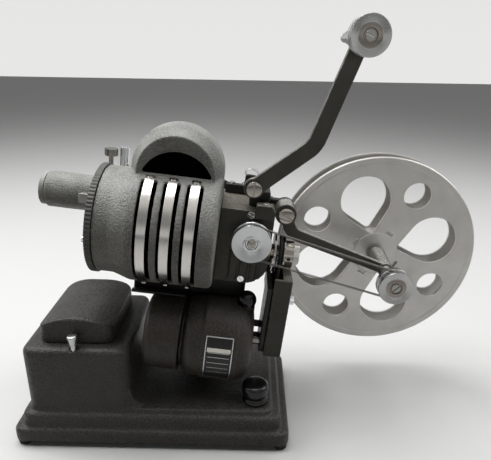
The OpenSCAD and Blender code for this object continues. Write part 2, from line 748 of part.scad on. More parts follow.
// Painted tube that carries the lens, with its foot and the bosses of knob, plunger and index
module lens_sleeve() color("#565650") in_head()
    difference() {
        union() {
            along_x(sleeve_x0, film_y, optic_z) cylinder(r = sleeve_r, h = sleeve_x1 - sleeve_x0);
            translate([plate_x0, plate_y1, optic_z - 13])
                cube([sleeve_x1 - plate_x0, 10, 26]);
            translate([focus_at[0], focus_at[1], 0]) cylinder(r = 4.5, h = 23);
            translate([plunger_at[0], plunger_at[1], 0]) cylinder(r = 5.6, h = 21.5);
            along_y(-68.5, film_y - sleeve_r - 0.8, optic_z) cylinder(r = 4.4, h = 8);
        }
        along_x(sleeve_x0 - 1, film_y, optic_z)
            cylinder(r = barrel_r + slide_c, h = sleeve_x1 - sleeve_x0 + 2);
        translate([focus_at[0], focus_at[1], 10]) cylinder(r = 2 + run_c, h = 20);
        translate([plunger_at[0], plunger_at[1], 13.2])
            cylinder(r = plunger_r - 1.5 + slide_c, h = 20);
    }

module lens_barrel() color("#c9c9c6") in_head()
    along_x(sleeve_x0 - barrel_out, film_y, optic_z) difference() {
        union() {
            cylinder(r = barrel_r, h = barrel_len);
            cylinder(r = barrel_r + 1.7, h = barrel_out - 1);
        }
        translate([0, 0, -1]) cylinder(r = barrel_r - barrel_wall, h = barrel_len + 2);
        translate([0, 0, -0.1]) cylinder(r1 = barrel_r, r2 = barrel_r - barrel_wall, h = 2.2);
    }

module lens_glass() color("lightcyan", 0.5) in_head() {
    a = asin((barrel_r - barrel_wall) / 26);
    for (x = [3, 34, 60]) along_x(sleeve_x0 - barrel_out + x, film_y, optic_z)
        rotate_extrude() polygon(concat(arc([0, 26], 26, -90, a - 90, 5),
            arc([0, -20], 26, 90 - a, 90, 5)));
}

module focus_knob() color("silver") in_head()
    translate([focus_at[0], focus_at[1], 0]) {
        translate([0, 0, 14]) cylinder(r = 2, h = 24);
        translate([0, 0, 37.5]) knurled(5.6, 6, 22, 0.5);
    }

module gate_plunger() color("silver") in_head()
    translate([plunger_at[0], plunger_at[1], 0]) {
        translate([0, 0, 17.2]) cylinder(r = plunger_r - 1.5, h = 10);
        translate([0, 0, 25.5]) cylinder(r = plunger_r, h = 21);
    }

// Guide posts and the two curved film shoes that face the sprocket
module film_guides() color("#8d8d88") in_head() {
    for (z = [26, -29]) {
        along_y(-12, plate_y1, z) cylinder(r = 2.2, h = film_y + 9 - plate_y1);
        for (y = [film_y - 9.4, film_y + 8]) along_y(-12, y, z) cylinder(r = 4.6, h = 1.4);
    }
    for (s = [-1, 1]) translate([cross_at[0], 0, cross_at[1]]) {
        along_y(-s * 8, plate_y1, s * 19) cylinder(r = 2, h = film_y + 7 - plate_y1);
        difference() {
            along_y(0, film_y - 6.8, 0) cylinder(r = 19.2, h = 13.6);
            along_y(0, film_y - 8, 0) cylinder(r = 17.4, h = 16);
            translate([-30, 0, s > 0 ? -40 : -9]) cube([60, 90, 49]);
        }
    }
}

// Two-bladed shutter with its gear in the plate's pocket
module shutter_disc() color("#1b1b1b") in_head()
    along_y(shutter_at[0], plate_y0 + 0.3, shutter_at[1]) {
        cylinder(r = 2, h = plate_y1 + 4 - plate_y0);
        translate([0, 0, train_y - plate_y0 - 0.3]) knurled(train_r[1], train_t, 28, 0.5);
        translate([0, 0, plate_y1 + 1.1 - plate_y0 - 0.3]) difference() {
            cylinder(r = shutter_r, h = 0.8);
            for (a = [0, 180]) rotate([0, 0, a - 40]) translate([0, 0, -1]) linear_extrude(3)
                polygon([[10, 0], [40, 0], [40, 40], [0, 40], [0, 10]]);
        }
    }

// Short shaft that carries the turn from the main shaft to the shutter
module shutter_drive() color("#9a7b45") in_head()
    along_y(drive_at[0], 0, drive_at[1]) {
        translate([0, 0, gear_y0 + 1.5]) cylinder(r = 2, h = train_y + train_t - gear_y0 - 1.5);
        translate([0, 0, worm_y - 3]) knurled(helical_r[1], 6, 20, 0.5);
        translate([0, 0, train_y]) knurled(train_r[0], train_t, 25, 0.5);
    }

// Gearbox casting, open at the back where the mechanism plate closes it
module gear_outline(in)
    difference() {
        translate([gear_x0 + in, -gear_z1 + in]) square([gear_w - 2 * in, gear_h - 2 * in]);
        difference() {
            translate([gear_x1 - gear_round, -gear_z0 - gear_round]) square([60, 60]);
            translate([gear_x1 - gear_round, -gear_z0 - gear_round])
                circle(r = gear_round - in);
        }
    }

module gearbox_housing() color("#3f3d33") in_head()
    difference() {
        union() {
            along_y(0, gear_y0, 0) linear_extrude(plate_y0 - gear_y0) gear_outline(0);
            plate_xz([[78.5, 17.8], [93.6, 17.8], [93.6, 25], [90, 29], [78.5, 29]],
                gear_y0 - 3, up_y0 - gap);
        }
        along_y(0, gear_y0 + gear_wall, 0) linear_extrude(60) gear_outline(gear_wall);
        along_y(cross_at[0], gear_y0 - 1, cross_at[1]) cylinder(r = bush_r, h = 12);
        along_x(gear_x1 - gear_wall - 1, worm_y, worm_z) cylinder(r = bush_r, h = 12);
        along_x(gear_x0 + 1.5, worm_y, worm_z) cylinder(r = shaft_r + run_c, h = 4);
        along_y(drive_at[0], gear_y0 + 1.2, drive_at[1]) cylinder(r = 2 + run_c, h = 6);
        for (x = [62, 70.5, 79, 86]) translate([x, gear_y0 - 0.4, gear_z0 + 3])
            cylinder(r = 1.6, h = x > 80 ? 18 : 26);
        along_y(73.6, gear_y0 - 1, -34.9) cylinder(r = 1.4, h = 4.4);
        along_y(75.3, gear_y0 - 1, 20.4) cylinder(r = 1, h = 4);
        translate([85.5, -4.5, 25]) cylinder(r = 1.2, h = 8);
    }

module bearing_bushes() color("#9a7b45") in_head() {
    for (b = [[gear_y0 - 0.4, gear_wall + 3], [plate_y0 - 2, plate_y1 - plate_y0 + 2]])
        along_y(cross_at[0], b[0], cross_at[1]) difference() {
            cylinder(r = bush_r, h = b[1]);
            translate([0, 0, -1]) cylinder(r = shaft_r + run_c, h = 20);
        }
    along_x(gear_x1 - gear_wall - 3, worm_y, worm_z) difference() {
        cylinder(r = bush_r, h = gear_wall + 4);
        translate([0, 0, -1]) cylinder(r = shaft_r + run_c, h = 20);
    }
}

// Slotted screws on the gearbox, its corner pad and the bracket, and the guard's screw
module slotted_screws() color("silver") in_head() {
    along_y(73.6, gear_y0, -34.9) rotate([180, 0, 0])
        slotted_screw(screw_head_r, 1.6, 1.4, 3.4, -58);
    along_y(75.3, gear_y0, 20.4) rotate([180, 0, 0]) slotted_screw(2.8, 3.4, 1, 3, 30);
    translate([85.5, -4.5, 29]) slotted_screw(2.2, 1.2, 1.2, 4, 20);
    for (x = [58, 68]) translate([x, bar_y + bar_w / 2, bar_z])
        slotted_screw(2.4, 1.6, 1.4, 8, 75);
    along_x(guard_x1 - guard_wall, -8, -48) {
        cylinder(r = 1.6, h = guard_wall + 1);
        translate([0, 0, guard_wall]) knurled(4, 4, 18, 0.4);
    }
}

// Black bracket on the gearbox top with the lugs of both arms
module arm_bracket() color("#181817") in_head()
    difference() {
        union() {
            y0 = up_y0 + arm_t + gap;
            slab(gear_x0 + 1, up_pivot[0] + 8, gear_z1, bar_z, bar_y, bar_y + bar_w, 1);
            slab(up_pivot[0] - 2, up_pivot[0] + 14, gear_z1, 36, y0, bar_y + bar_w, 1.5);
            along_y(up_pivot[0], y0, up_pivot[1]) cylinder(r = lug_r, h = lug_y1[0] - y0);
            slab(up_pivot[0] - 7.5, up_pivot[0] + 0.5, up_pivot[1], thumb_z, y0, lug_y1[0], 1);
            y1 = low_y0 + arm_t + gap;
            slab(gear_x1 - 14, low_pivot[0], low_pivot[1] - lug_r, gear_z1 + 4, y1, lug_y1[1], 1.5);
            along_y(low_pivot[0], y1, low_pivot[1]) cylinder(r = lug_r, h = lug_y1[1] - y1);
        }
        translate([gear_x0 - 5, -10, gear_z0]) cube([gear_w + 5, 60, gear_h]);
        along_y(up_pivot[0], 0, up_pivot[1]) cylinder(r = pivot_screw_r, h = 40);
        along_y(low_pivot[0], 0, low_pivot[1]) cylinder(r = pivot_screw_r, h = 40);
        for (x = [58, 68]) translate([x, bar_y + bar_w / 2, gear_z1 - 1])
            cylinder(r = 1.4, h = 10);
    }

// Slotted pivot screws of the two arms and the bright thumb piece on the bracket
module pivot_screws() color("silver") in_head() {
    along_y(up_pivot[0], up_y0 - gap, up_pivot[1]) rotate([180, 0, 0])
        slotted_screw(pivot_head_r, 3.4, pivot_screw_r, lug_y1[0] - up_y0 + gap, 90 + head_tilt);
    along_y(low_pivot[0], 2.2, low_pivot[1]) rotate([180, 0, 0])
        slotted_screw(pivot_head_r, 3.4, pivot_screw_r, lug_y1[1] - 2.2, -25);
    plate_xz([for (p = [[-7, 0], [-1, 0], [0, 0.6], [2.8, 1], [2.4, 2.6], [0, 4.2], [-3.4, 5],
        [-6.6, 4.6], [-8.6, 3.2], [-8.9, 1.8], [-7.4, 1]]) [up_pivot[0] + p[0], thumb_z + p[1]]],
        up_y0 + arm_t + gap, lug_y1[0]);
}

// Motor under the drum: fan housing on the left, ribbed body on the right
module motor_fan_housing() color("#3a332d") in_head()
    along_x(0, motor_y, motor_z) difference() {
        rotate_extrude($fn = 96) polygon([[0, fan_x0], [fan_r - 4, fan_x0],
            [fan_r - 1.2, fan_x0 + 1.2], [fan_r, fan_x0 + 4], [fan_r, fan_x1 - 3],
            [fan_r + 0.6, fan_x1 - 2.6], [fan_r + 0.6, fan_x1], [0, fan_x1]]);
        translate([0, 0, fan_x0 + 3]) cylinder(r = fan_r - 3, h = 40);
        for (a = [0:45:315]) rotate([0, 0, a + 10]) translate([16, -2.5, fan_x0 - 1])
            cube([9, 5, 6]);
    }

module motor_body() color("#3a332d") in_head()
    along_x(0, motor_y, motor_z) difference() {
        union() {
            rotate_extrude($fn = 96) polygon(concat([[0, fan_x1], [fan_r - 4, fan_x1],
                [fan_r - 4, motor_x0], [motor_r - 8, motor_x0]],
                arc([motor_r - 8, motor_x0 + 8], 8, -90, 0, 5),
                arc([motor_r - motor_round, motor_x1 - motor_round], motor_round, 0, 90, 7),
                [[0, motor_x1]]));
            for (a = [0, 180]) rotate([0, 0, cap_turn + a]) translate([18, 0, cap_x])
                rotate([0, 90, 0]) cylinder(r = cap_r - 0.8, h = motor_r - 19.2);
            translate([0, 0, band_x0]) cylinder(r = motor_r + band_t, h = band_w, $fn = 96);
        }
        rotate_extrude() polygon([[0, motor_x0 + 4], [motor_r - motor_wall, motor_x0 + 4],
            [motor_r - motor_wall, motor_x1 - motor_round],
            [motor_r - motor_round, motor_x1 - motor_wall], [0, motor_x1 - motor_wall]]);
        translate([0, 0, fan_x1 - 1]) cylinder(r = 14, h = motor_x0 + 5 - fan_x1);
        translate([0, 0, 20]) cylinder(r = motor_shaft_r + run_c, h = 80);
        for (a = [0, 180]) rotate([0, 0, cap_turn + a]) {
            translate([motor_r - 1.2, 0, cap_x]) rotate([0, 90, 0]) cylinder(r = cap_r, h = 20);
            translate([14, 0, cap_x]) rotate([0, 90, 0]) cylinder(r = 4, h = 30);
        }
    }

module nameplate() color("#15130f") in_head()
    translate([band_x0 + 2.8, motor_y, motor_z])
        sector_x(motor_r + band_t + 0.02, motor_r + band_t + 0.6, band_w - 5.6, plate_phi[0],
            plate_phi[1]);

// Brush holders: a ball-shaped cap on top, a flat one below
module brush_caps() color("#0f0f10") in_head()
    along_x(0, motor_y, motor_z) {
        rotate([0, 0, cap_turn]) translate([motor_r - 1.2, 0, cap_x]) rotate([0, 90, 0]) {
            translate([0, 0, -12]) cylinder(r = 4 - slide_c, h = 12.5);
            intersection() {
                translate([0, 0, cap_out + 1.2]) sphere(r = cap_r);
                cylinder(r = 20, h = 40);
            }
        }
        rotate([0, 0, cap_turn + 180]) translate([motor_r - 1.2, 0, cap_x]) rotate([0, 90, 0]) {
            translate([0, 0, -12]) cylinder(r = 4 - slide_c, h = 12.5);
            cylinder(r1 = 6.1, r2 = 5, h = 3.6);
        }
    }

// Cradle between drum and motor with the pivot leg, and the black plate by the guard
module head_cradle() color("#1b1a19") in_head() {
    difference() {
        union() {
            translate([-14, 5, -66]) cube([93, leg_y1 - 5, 28]);
            slab(pivot_u - leg_r, pivot_u + leg_r, pivot_w, -40, leg_y0, leg_y1, 2);
            along_y(pivot_u, leg_y0, pivot_w) cylinder(r = leg_r, h = leg_y1 - leg_y0);
        }
        along_x(-60, drum_y, drum_z) cylinder(r = drum_r, h = 160, $fn = 96);
        along_x(fan_x1, motor_y, motor_z) cylinder(r = motor_r + band_t, h = 60, $fn = 96);
        along_x(-30, motor_y, motor_z) cylinder(r = fan_r + 0.6, h = 62, $fn = 96);
        translate([gear_x0, gear_y0, gear_z0]) cube([40, 60, 40]);
        along_y(pivot_u, leg_y0 - 5, pivot_w) cylinder(r = pivot_r + run_c, h = 20);
    }
    difference() {
        union() {
            translate([guard_x0 - 4.5, -14, -97]) cube([4.5, 32, 59]);
            translate([guard_x0 - 4.5, 17, -52]) cube([4.5, 13, 14]);
            translate([gear_x1, 23, -40]) cube([guard_x0 - gear_x1, 7, 24]);
            for (z = [-82, -100 + 6]) along_x(motor_x1, 6, z)
                cylinder(r = 3, h = guard_x0 - 1 - motor_x1);
        }
        along_x(guard_x0 - 8, motor_y, motor_z) cylinder(r = 5, h = 20);
    }
}

// Hollow guard over the motor belt, open on the plate's side
module belt_guard() color("#44463a") in_head()
    difference() {
        translate([guard_x0, guard_y[0], guard_z[0]])
            cube([guard_x1 - guard_x0, guard_y[1] - guard_y[0], guard_z[1] - guard_z[0]]);
        translate([guard_x0 - 1, guard_y[0] + guard_wall, guard_z[0] + guard_wall])
            cube([guard_x1 - guard_x0 + 1 - guard_wall, guard_y[1] - guard_y[0] - 2 * guard_wall,
                guard_z[1] - guard_z[0] - 2 * guard_wall]);
        translate([guard_x0 - 1, worm_y - ring_r - 4, guard_z[1] - 5])
            cube([8, 2 * ring_r + 3, 10]);
        along_x(guard_x1 - 5, -8, -48) cylinder(r = 1.6, h = 10);
    }

// Belts as plain bands; the drive belt is a closely wound spring
module belt_ring(c1, r1, c2, r2)
    difference() {
        linear_extrude(2 * belt_r) polygon(two_round(c1, r1 + belt_r, c2, r2 + belt_r));
        translate([0, 0, -1]) linear_extrude(5)
            polygon(two_round(c1, r1 - belt_r, c2, r2 - belt_r));
    }

module drive_belt() color("#9a9a96") in_head()
    along_y(0, belt_y - belt_r, 0)
        belt_ring([cross_at[0], -cross_at[1]], drive_groove_r + belt_r + belt_c,
            [low_end[0], -low_end[1]], groove_r + belt_r + belt_c);

module motor_belt() color("#26201a") in_head()
    translate([ring_x + ring_w / 2 - belt_r, 0, 0]) rotate([90, 0, 90])
        belt_ring([worm_y, worm_z], ring_belt_r + belt_c, [motor_y, motor_z], motor_belt_r + belt_c);

// Knurled end cover with a short lip in the lamphouse neck
module end_cover() color("#77776f") in_head()
    along_x(neck_x0 - gap - rim_t, drum_y, drum_z) difference() {
        union() {
            knurled(neck_r + 1.2, rim_t, 90, 0.5);
            cylinder(r = lip_r, h = rim_t + lip_len);
        }
        translate([0, 0, rim_t - 1]) cylinder(r = lip_r - 2, h = 30);
        translate([0, 0, -1]) cylinder(r = neck_r - 5, h = 2.2);
        cover_screw_axes() translate([0, 0, -1]) cylinder(r = 1.2, h = 20);
    }

module cover_screw_axes()
    for (a = [95, 172, 268]) rotate([0, 0, 180 + a]) translate([neck_r - 2.5, 0, 0]) children();

module end_cover_screws() color("silver") in_head()
    along_x(neck_x0 - gap - rim_t, drum_y, drum_z) cover_screw_axes()
        rotate([180, 0, 0]) slotted_screw(2.2, 1.8, 1.2, rim_t - 0.5, 30);

module upper_arm() color("#44463a") in_head()
    difference() {
        union() {
            plate_xz(bent_strip(up_pivot, up_bend, up_end, bend_r, upper_arm_w, upper_arm_w - 1),
                up_y0, up_y0 + arm_t);
            along_y(up_pivot[0], up_y0, up_pivot[1]) cylinder(r = lug_r - 0.2, h = arm_t);
            along_y(up_end[0], up_y0 - 6, up_end[1]) cylinder(r = boss_r, h = 26);
        }
        along_y(up_pivot[0], -40, up_pivot[1]) cylinder(r = pivot_screw_r + run_c, h = 100);
        along_y(up_end[0], -40, up_end[1]) cylinder(r = spindle_r + run_c, h = 100);
    }

// Spindle along y: bearing part, collar from y_collar to the reel, seat and nose
module spindle(at, y_collar, collar_r)
    along_y(at[0], 0, at[1]) rotate_extrude() polygon([[0, pulley_y[0] + 1.2],
        [spindle_r, pulley_y[0] + 1.2], [spindle_r, y_collar], [collar_r, y_collar],
        [collar_r, reel_y0 - 0.4], [seat_r, reel_y0 - 0.4], [seat_r, spindle_y1 - 4],
        [seat_r - 0.6, spindle_y1 - 3.4], [seat_r - 0.6, spindle_y1 - 2.6],
        [seat_r, spindle_y1 - 2], [seat_r - 2, spindle_y1], [0, spindle_y1]]);

module upper_spindle() color("silver") in_head() spindle(up_end, up_y0 + 20 + gap, 5.6);
module takeup_spindle() color("silver") in_head() spindle(low_end, 46 + gap, 6);

module spindle_pulley(at)
    translate([at[0], 0, at[1]]) pulley(small_pulley_r, groove_r, spindle_r, pulley_y[0], pulley_y[1]);

module upper_pulley() color("silver") in_head() spindle_pulley(up_end);
module takeup_pulley() color("silver") in_head() spindle_pulley(low_end);

module lower_arm() color("#44463a") in_head()
    difference() {
        union() {
            plate_xz(bent_strip(low_pivot, low_bend, low_end, bend_r * 0.6, lower_arm_w, low_end_w),
                low_y0, low_y0 + arm_t);
            along_y(low_pivot[0], 2.5, low_pivot[1]) cylinder(r = 8.6, h = low_y0 + arm_t - 2.5);
            along_y(low_end[0], 13, low_end[1]) cylinder(r1 = 6.2, r2 = 8, h = 33);
            along_y(low_end[0], pulley_y[1] + gap, low_end[1]) cylinder(r = 4.4, h = 30);
        }
        along_y(low_pivot[0], -40, low_pivot[1]) cylinder(r = pivot_screw_r + run_c, h = 100);
        along_y(low_end[0], -40, low_end[1]) cylinder(r = spindle_r + run_c, h = 100);
    }

// Empty metal reel: two pierced flanges with a rolled rim round a hollow core
module reel() color("#c9c9c6") in_head()
    along_y(low_end[0], reel_y0, low_end[1]) difference() {
        union() {
            reel_flange();
            translate([0, 0, reel_w]) mirror([0, 0, 1]) reel_flange();
            cylinder(r = core_r, h = reel_w);
        }
        translate([0, 0, flange_t + 0.5]) difference() {
            cylinder(r = core_r - 2, h = reel_w - 2 * flange_t - 1);
            translate([0, 0, -1]) cylinder(r = 7, h = 30);
        }
        for (k = [0:3]) rotate([0, 0, -tear_turn - 90 * k]) translate([0, 0, -2])
            linear_extrude(reel_w + 4) polygon(two_round([23.6, 0], 3.4, [tear_at, 0], tear_r));
        for (k = [0:3]) rotate([0, 0, -tear_turn - 45 - 90 * k]) translate([0, 0, -2]) {
            translate([hole_at, 0, 0]) cylinder(r = hole_r, h = reel_w + 4);
            translate([core_r + 1.5, -3.5, 0]) cube([2.6, 7, reel_w + 4]);
        }
        translate([0, 0, -2]) cylinder(r = seat_r + core_bore_c, h = reel_w + 4);
    }

module reel_flange()
    rotate_extrude($fn = 128) polygon([[0, -0.4], [core_r + 0.5, -0.4], [core_r + 1, 0],
        [reel_r - 6, 0], [reel_r - 5, -0.6], [reel_r - 1, -0.6], [reel_r, 0.2],
        [reel_r, flange_t], [reel_r - 1, flange_t + 0.5], [reel_r - 5, flange_t + 0.5],
        [reel_r - 6, flange_t], [0, flange_t]]);

// Cross shaft with its worm wheel
module cross_shaft() color("silver") in_head()
    along_y(cross_at[0], 0, cross_at[1]) {
        translate([0, 0, -19.4]) cylinder(r = shaft_r, h = film_y + 9 + 19.4);
        translate([0, 0, worm_y - 3]) knurled(worm_wheel_r, 6, 30, 0.6);
    }

module drive_pulley() color("silver") in_head()
    translate([cross_at[0], 0, cross_at[1]]) {
        pulley(pulley_r, drive_groove_r, shaft_r, -21, gear_y0 - 1);
        along_y(0, -19.4, 0) rotate([180, 0, 0]) slotted_screw(3.6, 1.2, 0.1, 0.01, 65);
    }

module main_sprocket() color("silver") in_head()
    along_y(cross_at[0], film_y - 7.6, cross_at[1]) {
        rotate_extrude() polygon([[shaft_r, 0], [sprocket_r, 0], [sprocket_r, 2.6],
            [sprocket_r - 2.5, 3.2], [sprocket_r - 2.5, 12], [sprocket_r, 12.6],
            [sprocket_r, 15.2], [shaft_r, 15.2]]);
        for (i = [0:sprocket_n - 1], z = [1.3, 13.9]) rotate([0, 0, i * 360 / sprocket_n])
            translate([sprocket_r - 0.5, 0, z]) rotate([0, 90, 0])
                cylinder(r1 = 0.8, r2 = 0.5, h = 1.7);
    }

// Main shaft with its worm, two bright discs and the hub with a cross hole
module main_shaft() color("silver") in_head()
    difference() {
        along_x(0, worm_y, worm_z) {
            translate([0, 0, gear_x0 + 2.5]) cylinder(r = shaft_r, h = gear_w + hub_w + 12.8);
            translate([0, 0, drive_at[0] - 4]) cylinder(r = helical_r[0], h = 8);
            translate([0, 0, cross_at[0] - 8]) cylinder(r = worm_r, h = 16);
            translate([0, 0, gear_x1 + 3.3]) cylinder(r = ring_r + 0.5, h = 1.5);
            translate([0, 0, gear_x1 + 11.3]) cylinder(r = ring_r - 0.7, h = 1);
            translate([0, 0, gear_x1 + 12]) cylinder(r = hub_r, h = hub_w);
        }
        translate([gear_x1 + 12 + hub_w / 2, worm_y - 20, worm_z]) rotate([-90, 0, 0])
            cylinder(r = 1.5, h = 40);
    }

module shaft_wheel() color("#141414") in_head()
    along_x(ring_x, worm_y, worm_z) rotate_extrude() polygon([[shaft_r, 0], [ring_r, 0],
        [ring_r, 0.5], [ring_r - 1.9, 1.2], [ring_r - 1.9, 3], [ring_r, 3.7],
        [ring_r, ring_w], [shaft_r, ring_w]]);

module inching_knob() color("silver") in_head()
    along_x(gear_x1 + 12 + hub_w, worm_y, worm_z) difference() {
        knurled(knurl_r, 5, 36, 0.4);
        translate([0, 0, -1]) cylinder(r = shaft_r, h = 4.5);
    }

// Motor rotor: shaft, fan, armature, commutator and belt pulley
module motor_rotor() color("silver") in_head()
    along_x(0, motor_y, motor_z) {
        translate([0, 0, fan_x0 + 6]) cylinder(r = motor_shaft_r, h = ring_x + ring_w - fan_x0 - 6);
        translate([0, 0, fan_x0 + 8]) cylinder(r = fan_r - 6, h = 1.5);
        for (a = [0:30:330]) rotate([0, 0, a]) translate([11, -0.5, fan_x0 + 9])
            cube([fan_r - 18, 1, 11]);
        translate([0, 0, motor_x0 + 9]) cylinder(r = 21, h = 28);
        translate([0, 0, cap_x - 5]) cylinder(r = 9, h = 7.2);
        translate([0, 0, ring_x]) rotate_extrude() polygon([[0, 0], [motor_pulley_r, 0],
            [motor_pulley_r, 0.5], [motor_pulley_r - 1.3, 1.2], [motor_pulley_r - 1.3, 3],
            [motor_pulley_r, 3.7], [motor_pulley_r, ring_w], [0, ring_w]]);
    }

base_casting();
bottom_plate();
rubber_feet();
resistor_cover();
transformer();
resistors();
mains_inlet();
support_column();
tilt_knob();
rheostat_knob();
power_button();
lamphouse();
cooling_strips();
inner_baffles();
lamp_socket();
lamp_bulb();
mirrors();
condenser_lenses();
main_plate();
mirror_box();
gate_block();
lens_sleeve();
gearbox_housing();
slotted_screws();
arm_bracket();
pivot_screws();
bearing_bushes();
motor_fan_housing();
motor_body();
nameplate();
brush_caps();
head_cradle();
belt_guard();
drive_belt();
motor_belt();
end_cover();
end_cover_screws();
upper_arm();
upper_spindle();
upper_pulley();
lower_arm();
takeup_spindle();
takeup_pulley();
reel();
cross_shaft();
drive_pulley();
main_sprocket();
main_shaft();
shaft_wheel();
inching_knob();
motor_rotor();
lens_barrel();
lens_glass();
shutter_disc();
shutter_drive();
film_guides();
claw();
pressure_plate();
gate_plunger();
focus_knob();
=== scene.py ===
# %% [markdown]
# # A table-top film projector
# The machine is a stack of castings: a base with a raised box, a tilting head with a drum lamphouse, a
# motor under it, and a gearbox that carries two reel arms. The sizes and the joints come from the CAD
# frame. This notebook gives that frame its looks: soft cast edges, wrinkled and hammered paint, turned
# and polished metal, and the closely wound spring belt.

import json
from math import acos, atan2, cos, pi, radians, sin

import bpy
from mathutils import Matrix, Vector

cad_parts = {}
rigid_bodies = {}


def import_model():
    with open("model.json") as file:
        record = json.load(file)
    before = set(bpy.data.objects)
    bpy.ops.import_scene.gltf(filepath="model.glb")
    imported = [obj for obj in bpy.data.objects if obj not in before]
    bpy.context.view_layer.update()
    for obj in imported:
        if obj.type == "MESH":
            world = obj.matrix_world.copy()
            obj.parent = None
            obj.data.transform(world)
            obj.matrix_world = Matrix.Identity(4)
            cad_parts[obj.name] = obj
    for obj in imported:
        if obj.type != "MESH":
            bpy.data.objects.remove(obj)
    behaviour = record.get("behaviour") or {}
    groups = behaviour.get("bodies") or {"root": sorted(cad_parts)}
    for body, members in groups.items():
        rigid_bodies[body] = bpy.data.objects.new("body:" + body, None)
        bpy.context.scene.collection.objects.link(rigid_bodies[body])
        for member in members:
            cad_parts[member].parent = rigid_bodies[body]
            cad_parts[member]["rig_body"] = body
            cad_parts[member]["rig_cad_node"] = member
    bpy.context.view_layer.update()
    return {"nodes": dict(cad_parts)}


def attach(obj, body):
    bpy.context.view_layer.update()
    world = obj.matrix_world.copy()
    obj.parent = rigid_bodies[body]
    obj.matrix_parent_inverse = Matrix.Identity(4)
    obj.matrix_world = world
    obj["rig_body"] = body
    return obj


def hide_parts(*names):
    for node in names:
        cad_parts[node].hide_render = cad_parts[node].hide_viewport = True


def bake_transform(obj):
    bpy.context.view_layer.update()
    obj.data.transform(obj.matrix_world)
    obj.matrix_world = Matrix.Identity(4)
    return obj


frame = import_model()
cad = frame["nodes"]
MM = 0.001

# %% [markdown]
# ## Camera
# The photograph was taken from close by, a little above the lamphouse and turned down by about 21
# degrees. The place and the angles were solved from the base's corners and the reel's rim, so the
# perspective is the photograph's own. A camera object looks along its own -Z, which is why the third
# column of the matrix is the reversed view direction. The focal length was solved in pixels, and the
# picture's width turns it into millimetres.

# %% Camera at the photograph's place
eye = Vector((75.567, -357.034, 305.443)) * MM
yaw, pitch, roll = -0.0076259, 0.3635320, -0.0160151
view_dir = Vector((sin(yaw) * cos(pitch), cos(yaw) * cos(pitch), -sin(pitch)))
level = Vector((cos(yaw), -sin(yaw), 0))
down = view_dir.cross(level)
cam_x = cos(roll) * level + sin(roll) * down
cam_down = cos(roll) * down - sin(roll) * level
bpy.ops.object.camera_add(location=eye)
camera = bpy.context.object
camera.name = "camera"
turn = Matrix((cam_x, -cam_down, -view_dir)).transposed()
camera.matrix_world = Matrix.Translation(eye) @ turn.to_4x4()
FOCAL_PIXELS, PHOTO_WIDTH, SENSOR_MM = 483.0115, 491, 36
camera.data.sensor_width = SENSOR_MM
camera.data.lens = FOCAL_PIXELS / PHOTO_WIDTH * SENSOR_MM
camera.data.clip_start = 0.01
bpy.context.scene.camera = camera
print("camera pitch in degrees", round(pitch * 180 / pi, 1))

# %% [markdown]
# ## Floor and light
# A plain pale floor and a pale surround keep the eye on the machine. The floor is a single grid that
# reaches past the view. The surround is only as bright as white for the camera and for reflections, and
# dimmer as a light, so that the paint keeps its own tone and the chrome still has a pale room to mirror.
# A broad lamp overhead gives the bright hood and the shade under the drum, one from each side lights the
# ends, and a weak one in front only lifts the darkest paint.


# %% Selecting one object
def alone(piece):
    bpy.ops.object.select_all(action="DESELECT")
    piece.select_set(True)
    bpy.context.view_layer.objects.active = piece


# %% Pale floor
alone(camera)
bpy.ops.mesh.primitive_grid_add(x_subdivisions=8, y_subdivisions=8, size=9, location=(0, 0, 0))
floor = bpy.context.object
floor.name = "floor"
pale = bpy.data.materials.new("pale_table")
pale.use_nodes = True
table = pale.node_tree
shown = table.nodes["Principled BSDF"]
shown.inputs["Base Color"].default_value = (0.80, 0.80, 0.79, 1)
shown.inputs["Roughness"].default_value = 0.5
dim = table.nodes.new("ShaderNodeBsdfDiffuse")
dim.inputs["Color"].default_value = (0.15, 0.14, 0.12, 1)
ray = table.nodes.new("ShaderNodeLightPath")
which = table.nodes.new("ShaderNodeMixShader")
table.links.new(ray.outputs["Is Diffuse Ray"], which.inputs["Fac"])
table.links.new(shown.outputs[0], which.inputs[1])
table.links.new(dim.outputs[0], which.inputs[2])
table.links.new(which.outputs[0], table.nodes["Material Output"].inputs["Surface"])
floor.data.materials.append(pale)
print("floor side in m", round(floor.dimensions.x, 2))

# %% Surround
world = bpy.data.worlds.new("studio")
bpy.context.scene.world = world
world.use_nodes = True
sky = world.node_tree
sky.nodes.clear()
seen = sky.nodes.new("ShaderNodeBackground")
seen.inputs["Strength"].default_value = 1.0
toward = sky.nodes.new("ShaderNodeTexCoord")
parts = sky.nodes.new("ShaderNodeSeparateXYZ")
shade = sky.nodes.new("ShaderNodeValToRGB")
sky.links.new(toward.outputs["Generated"], parts.inputs[0])
sky.links.new(parts.outputs["Z"], shade.inputs["Fac"])
sky.links.new(shade.outputs["Color"], seen.inputs["Color"])
bands = ((0.0, 0.80), (0.14, 0.78), (0.32, 0.30), (0.62, 0.34), (0.80, 0.85), (1.0, 0.95))
while len(shade.color_ramp.elements) < len(bands):
    shade.color_ramp.elements.new(0.5)
for stop, (height, grey) in zip(shade.color_ramp.elements, bands):
    stop.position = height
    stop.color = (grey, grey, grey * 0.99, 1)
glow = sky.nodes.new("ShaderNodeBackground")
glow.inputs["Color"].default_value = (0.93, 0.96, 1.0, 1)
glow.inputs["Strength"].default_value = 0.035
paths = sky.nodes.new("ShaderNodeLightPath")
either = sky.nodes.new("ShaderNodeMath")
either.operation = "MAXIMUM"
three_way = sky.nodes.new("ShaderNodeMath")
three_way.operation = "MAXIMUM"
choose = sky.nodes.new("ShaderNodeMixShader")
result = sky.nodes.new("ShaderNodeOutputWorld")
sky.links.new(paths.outputs["Is Camera Ray"], either.inputs[0])
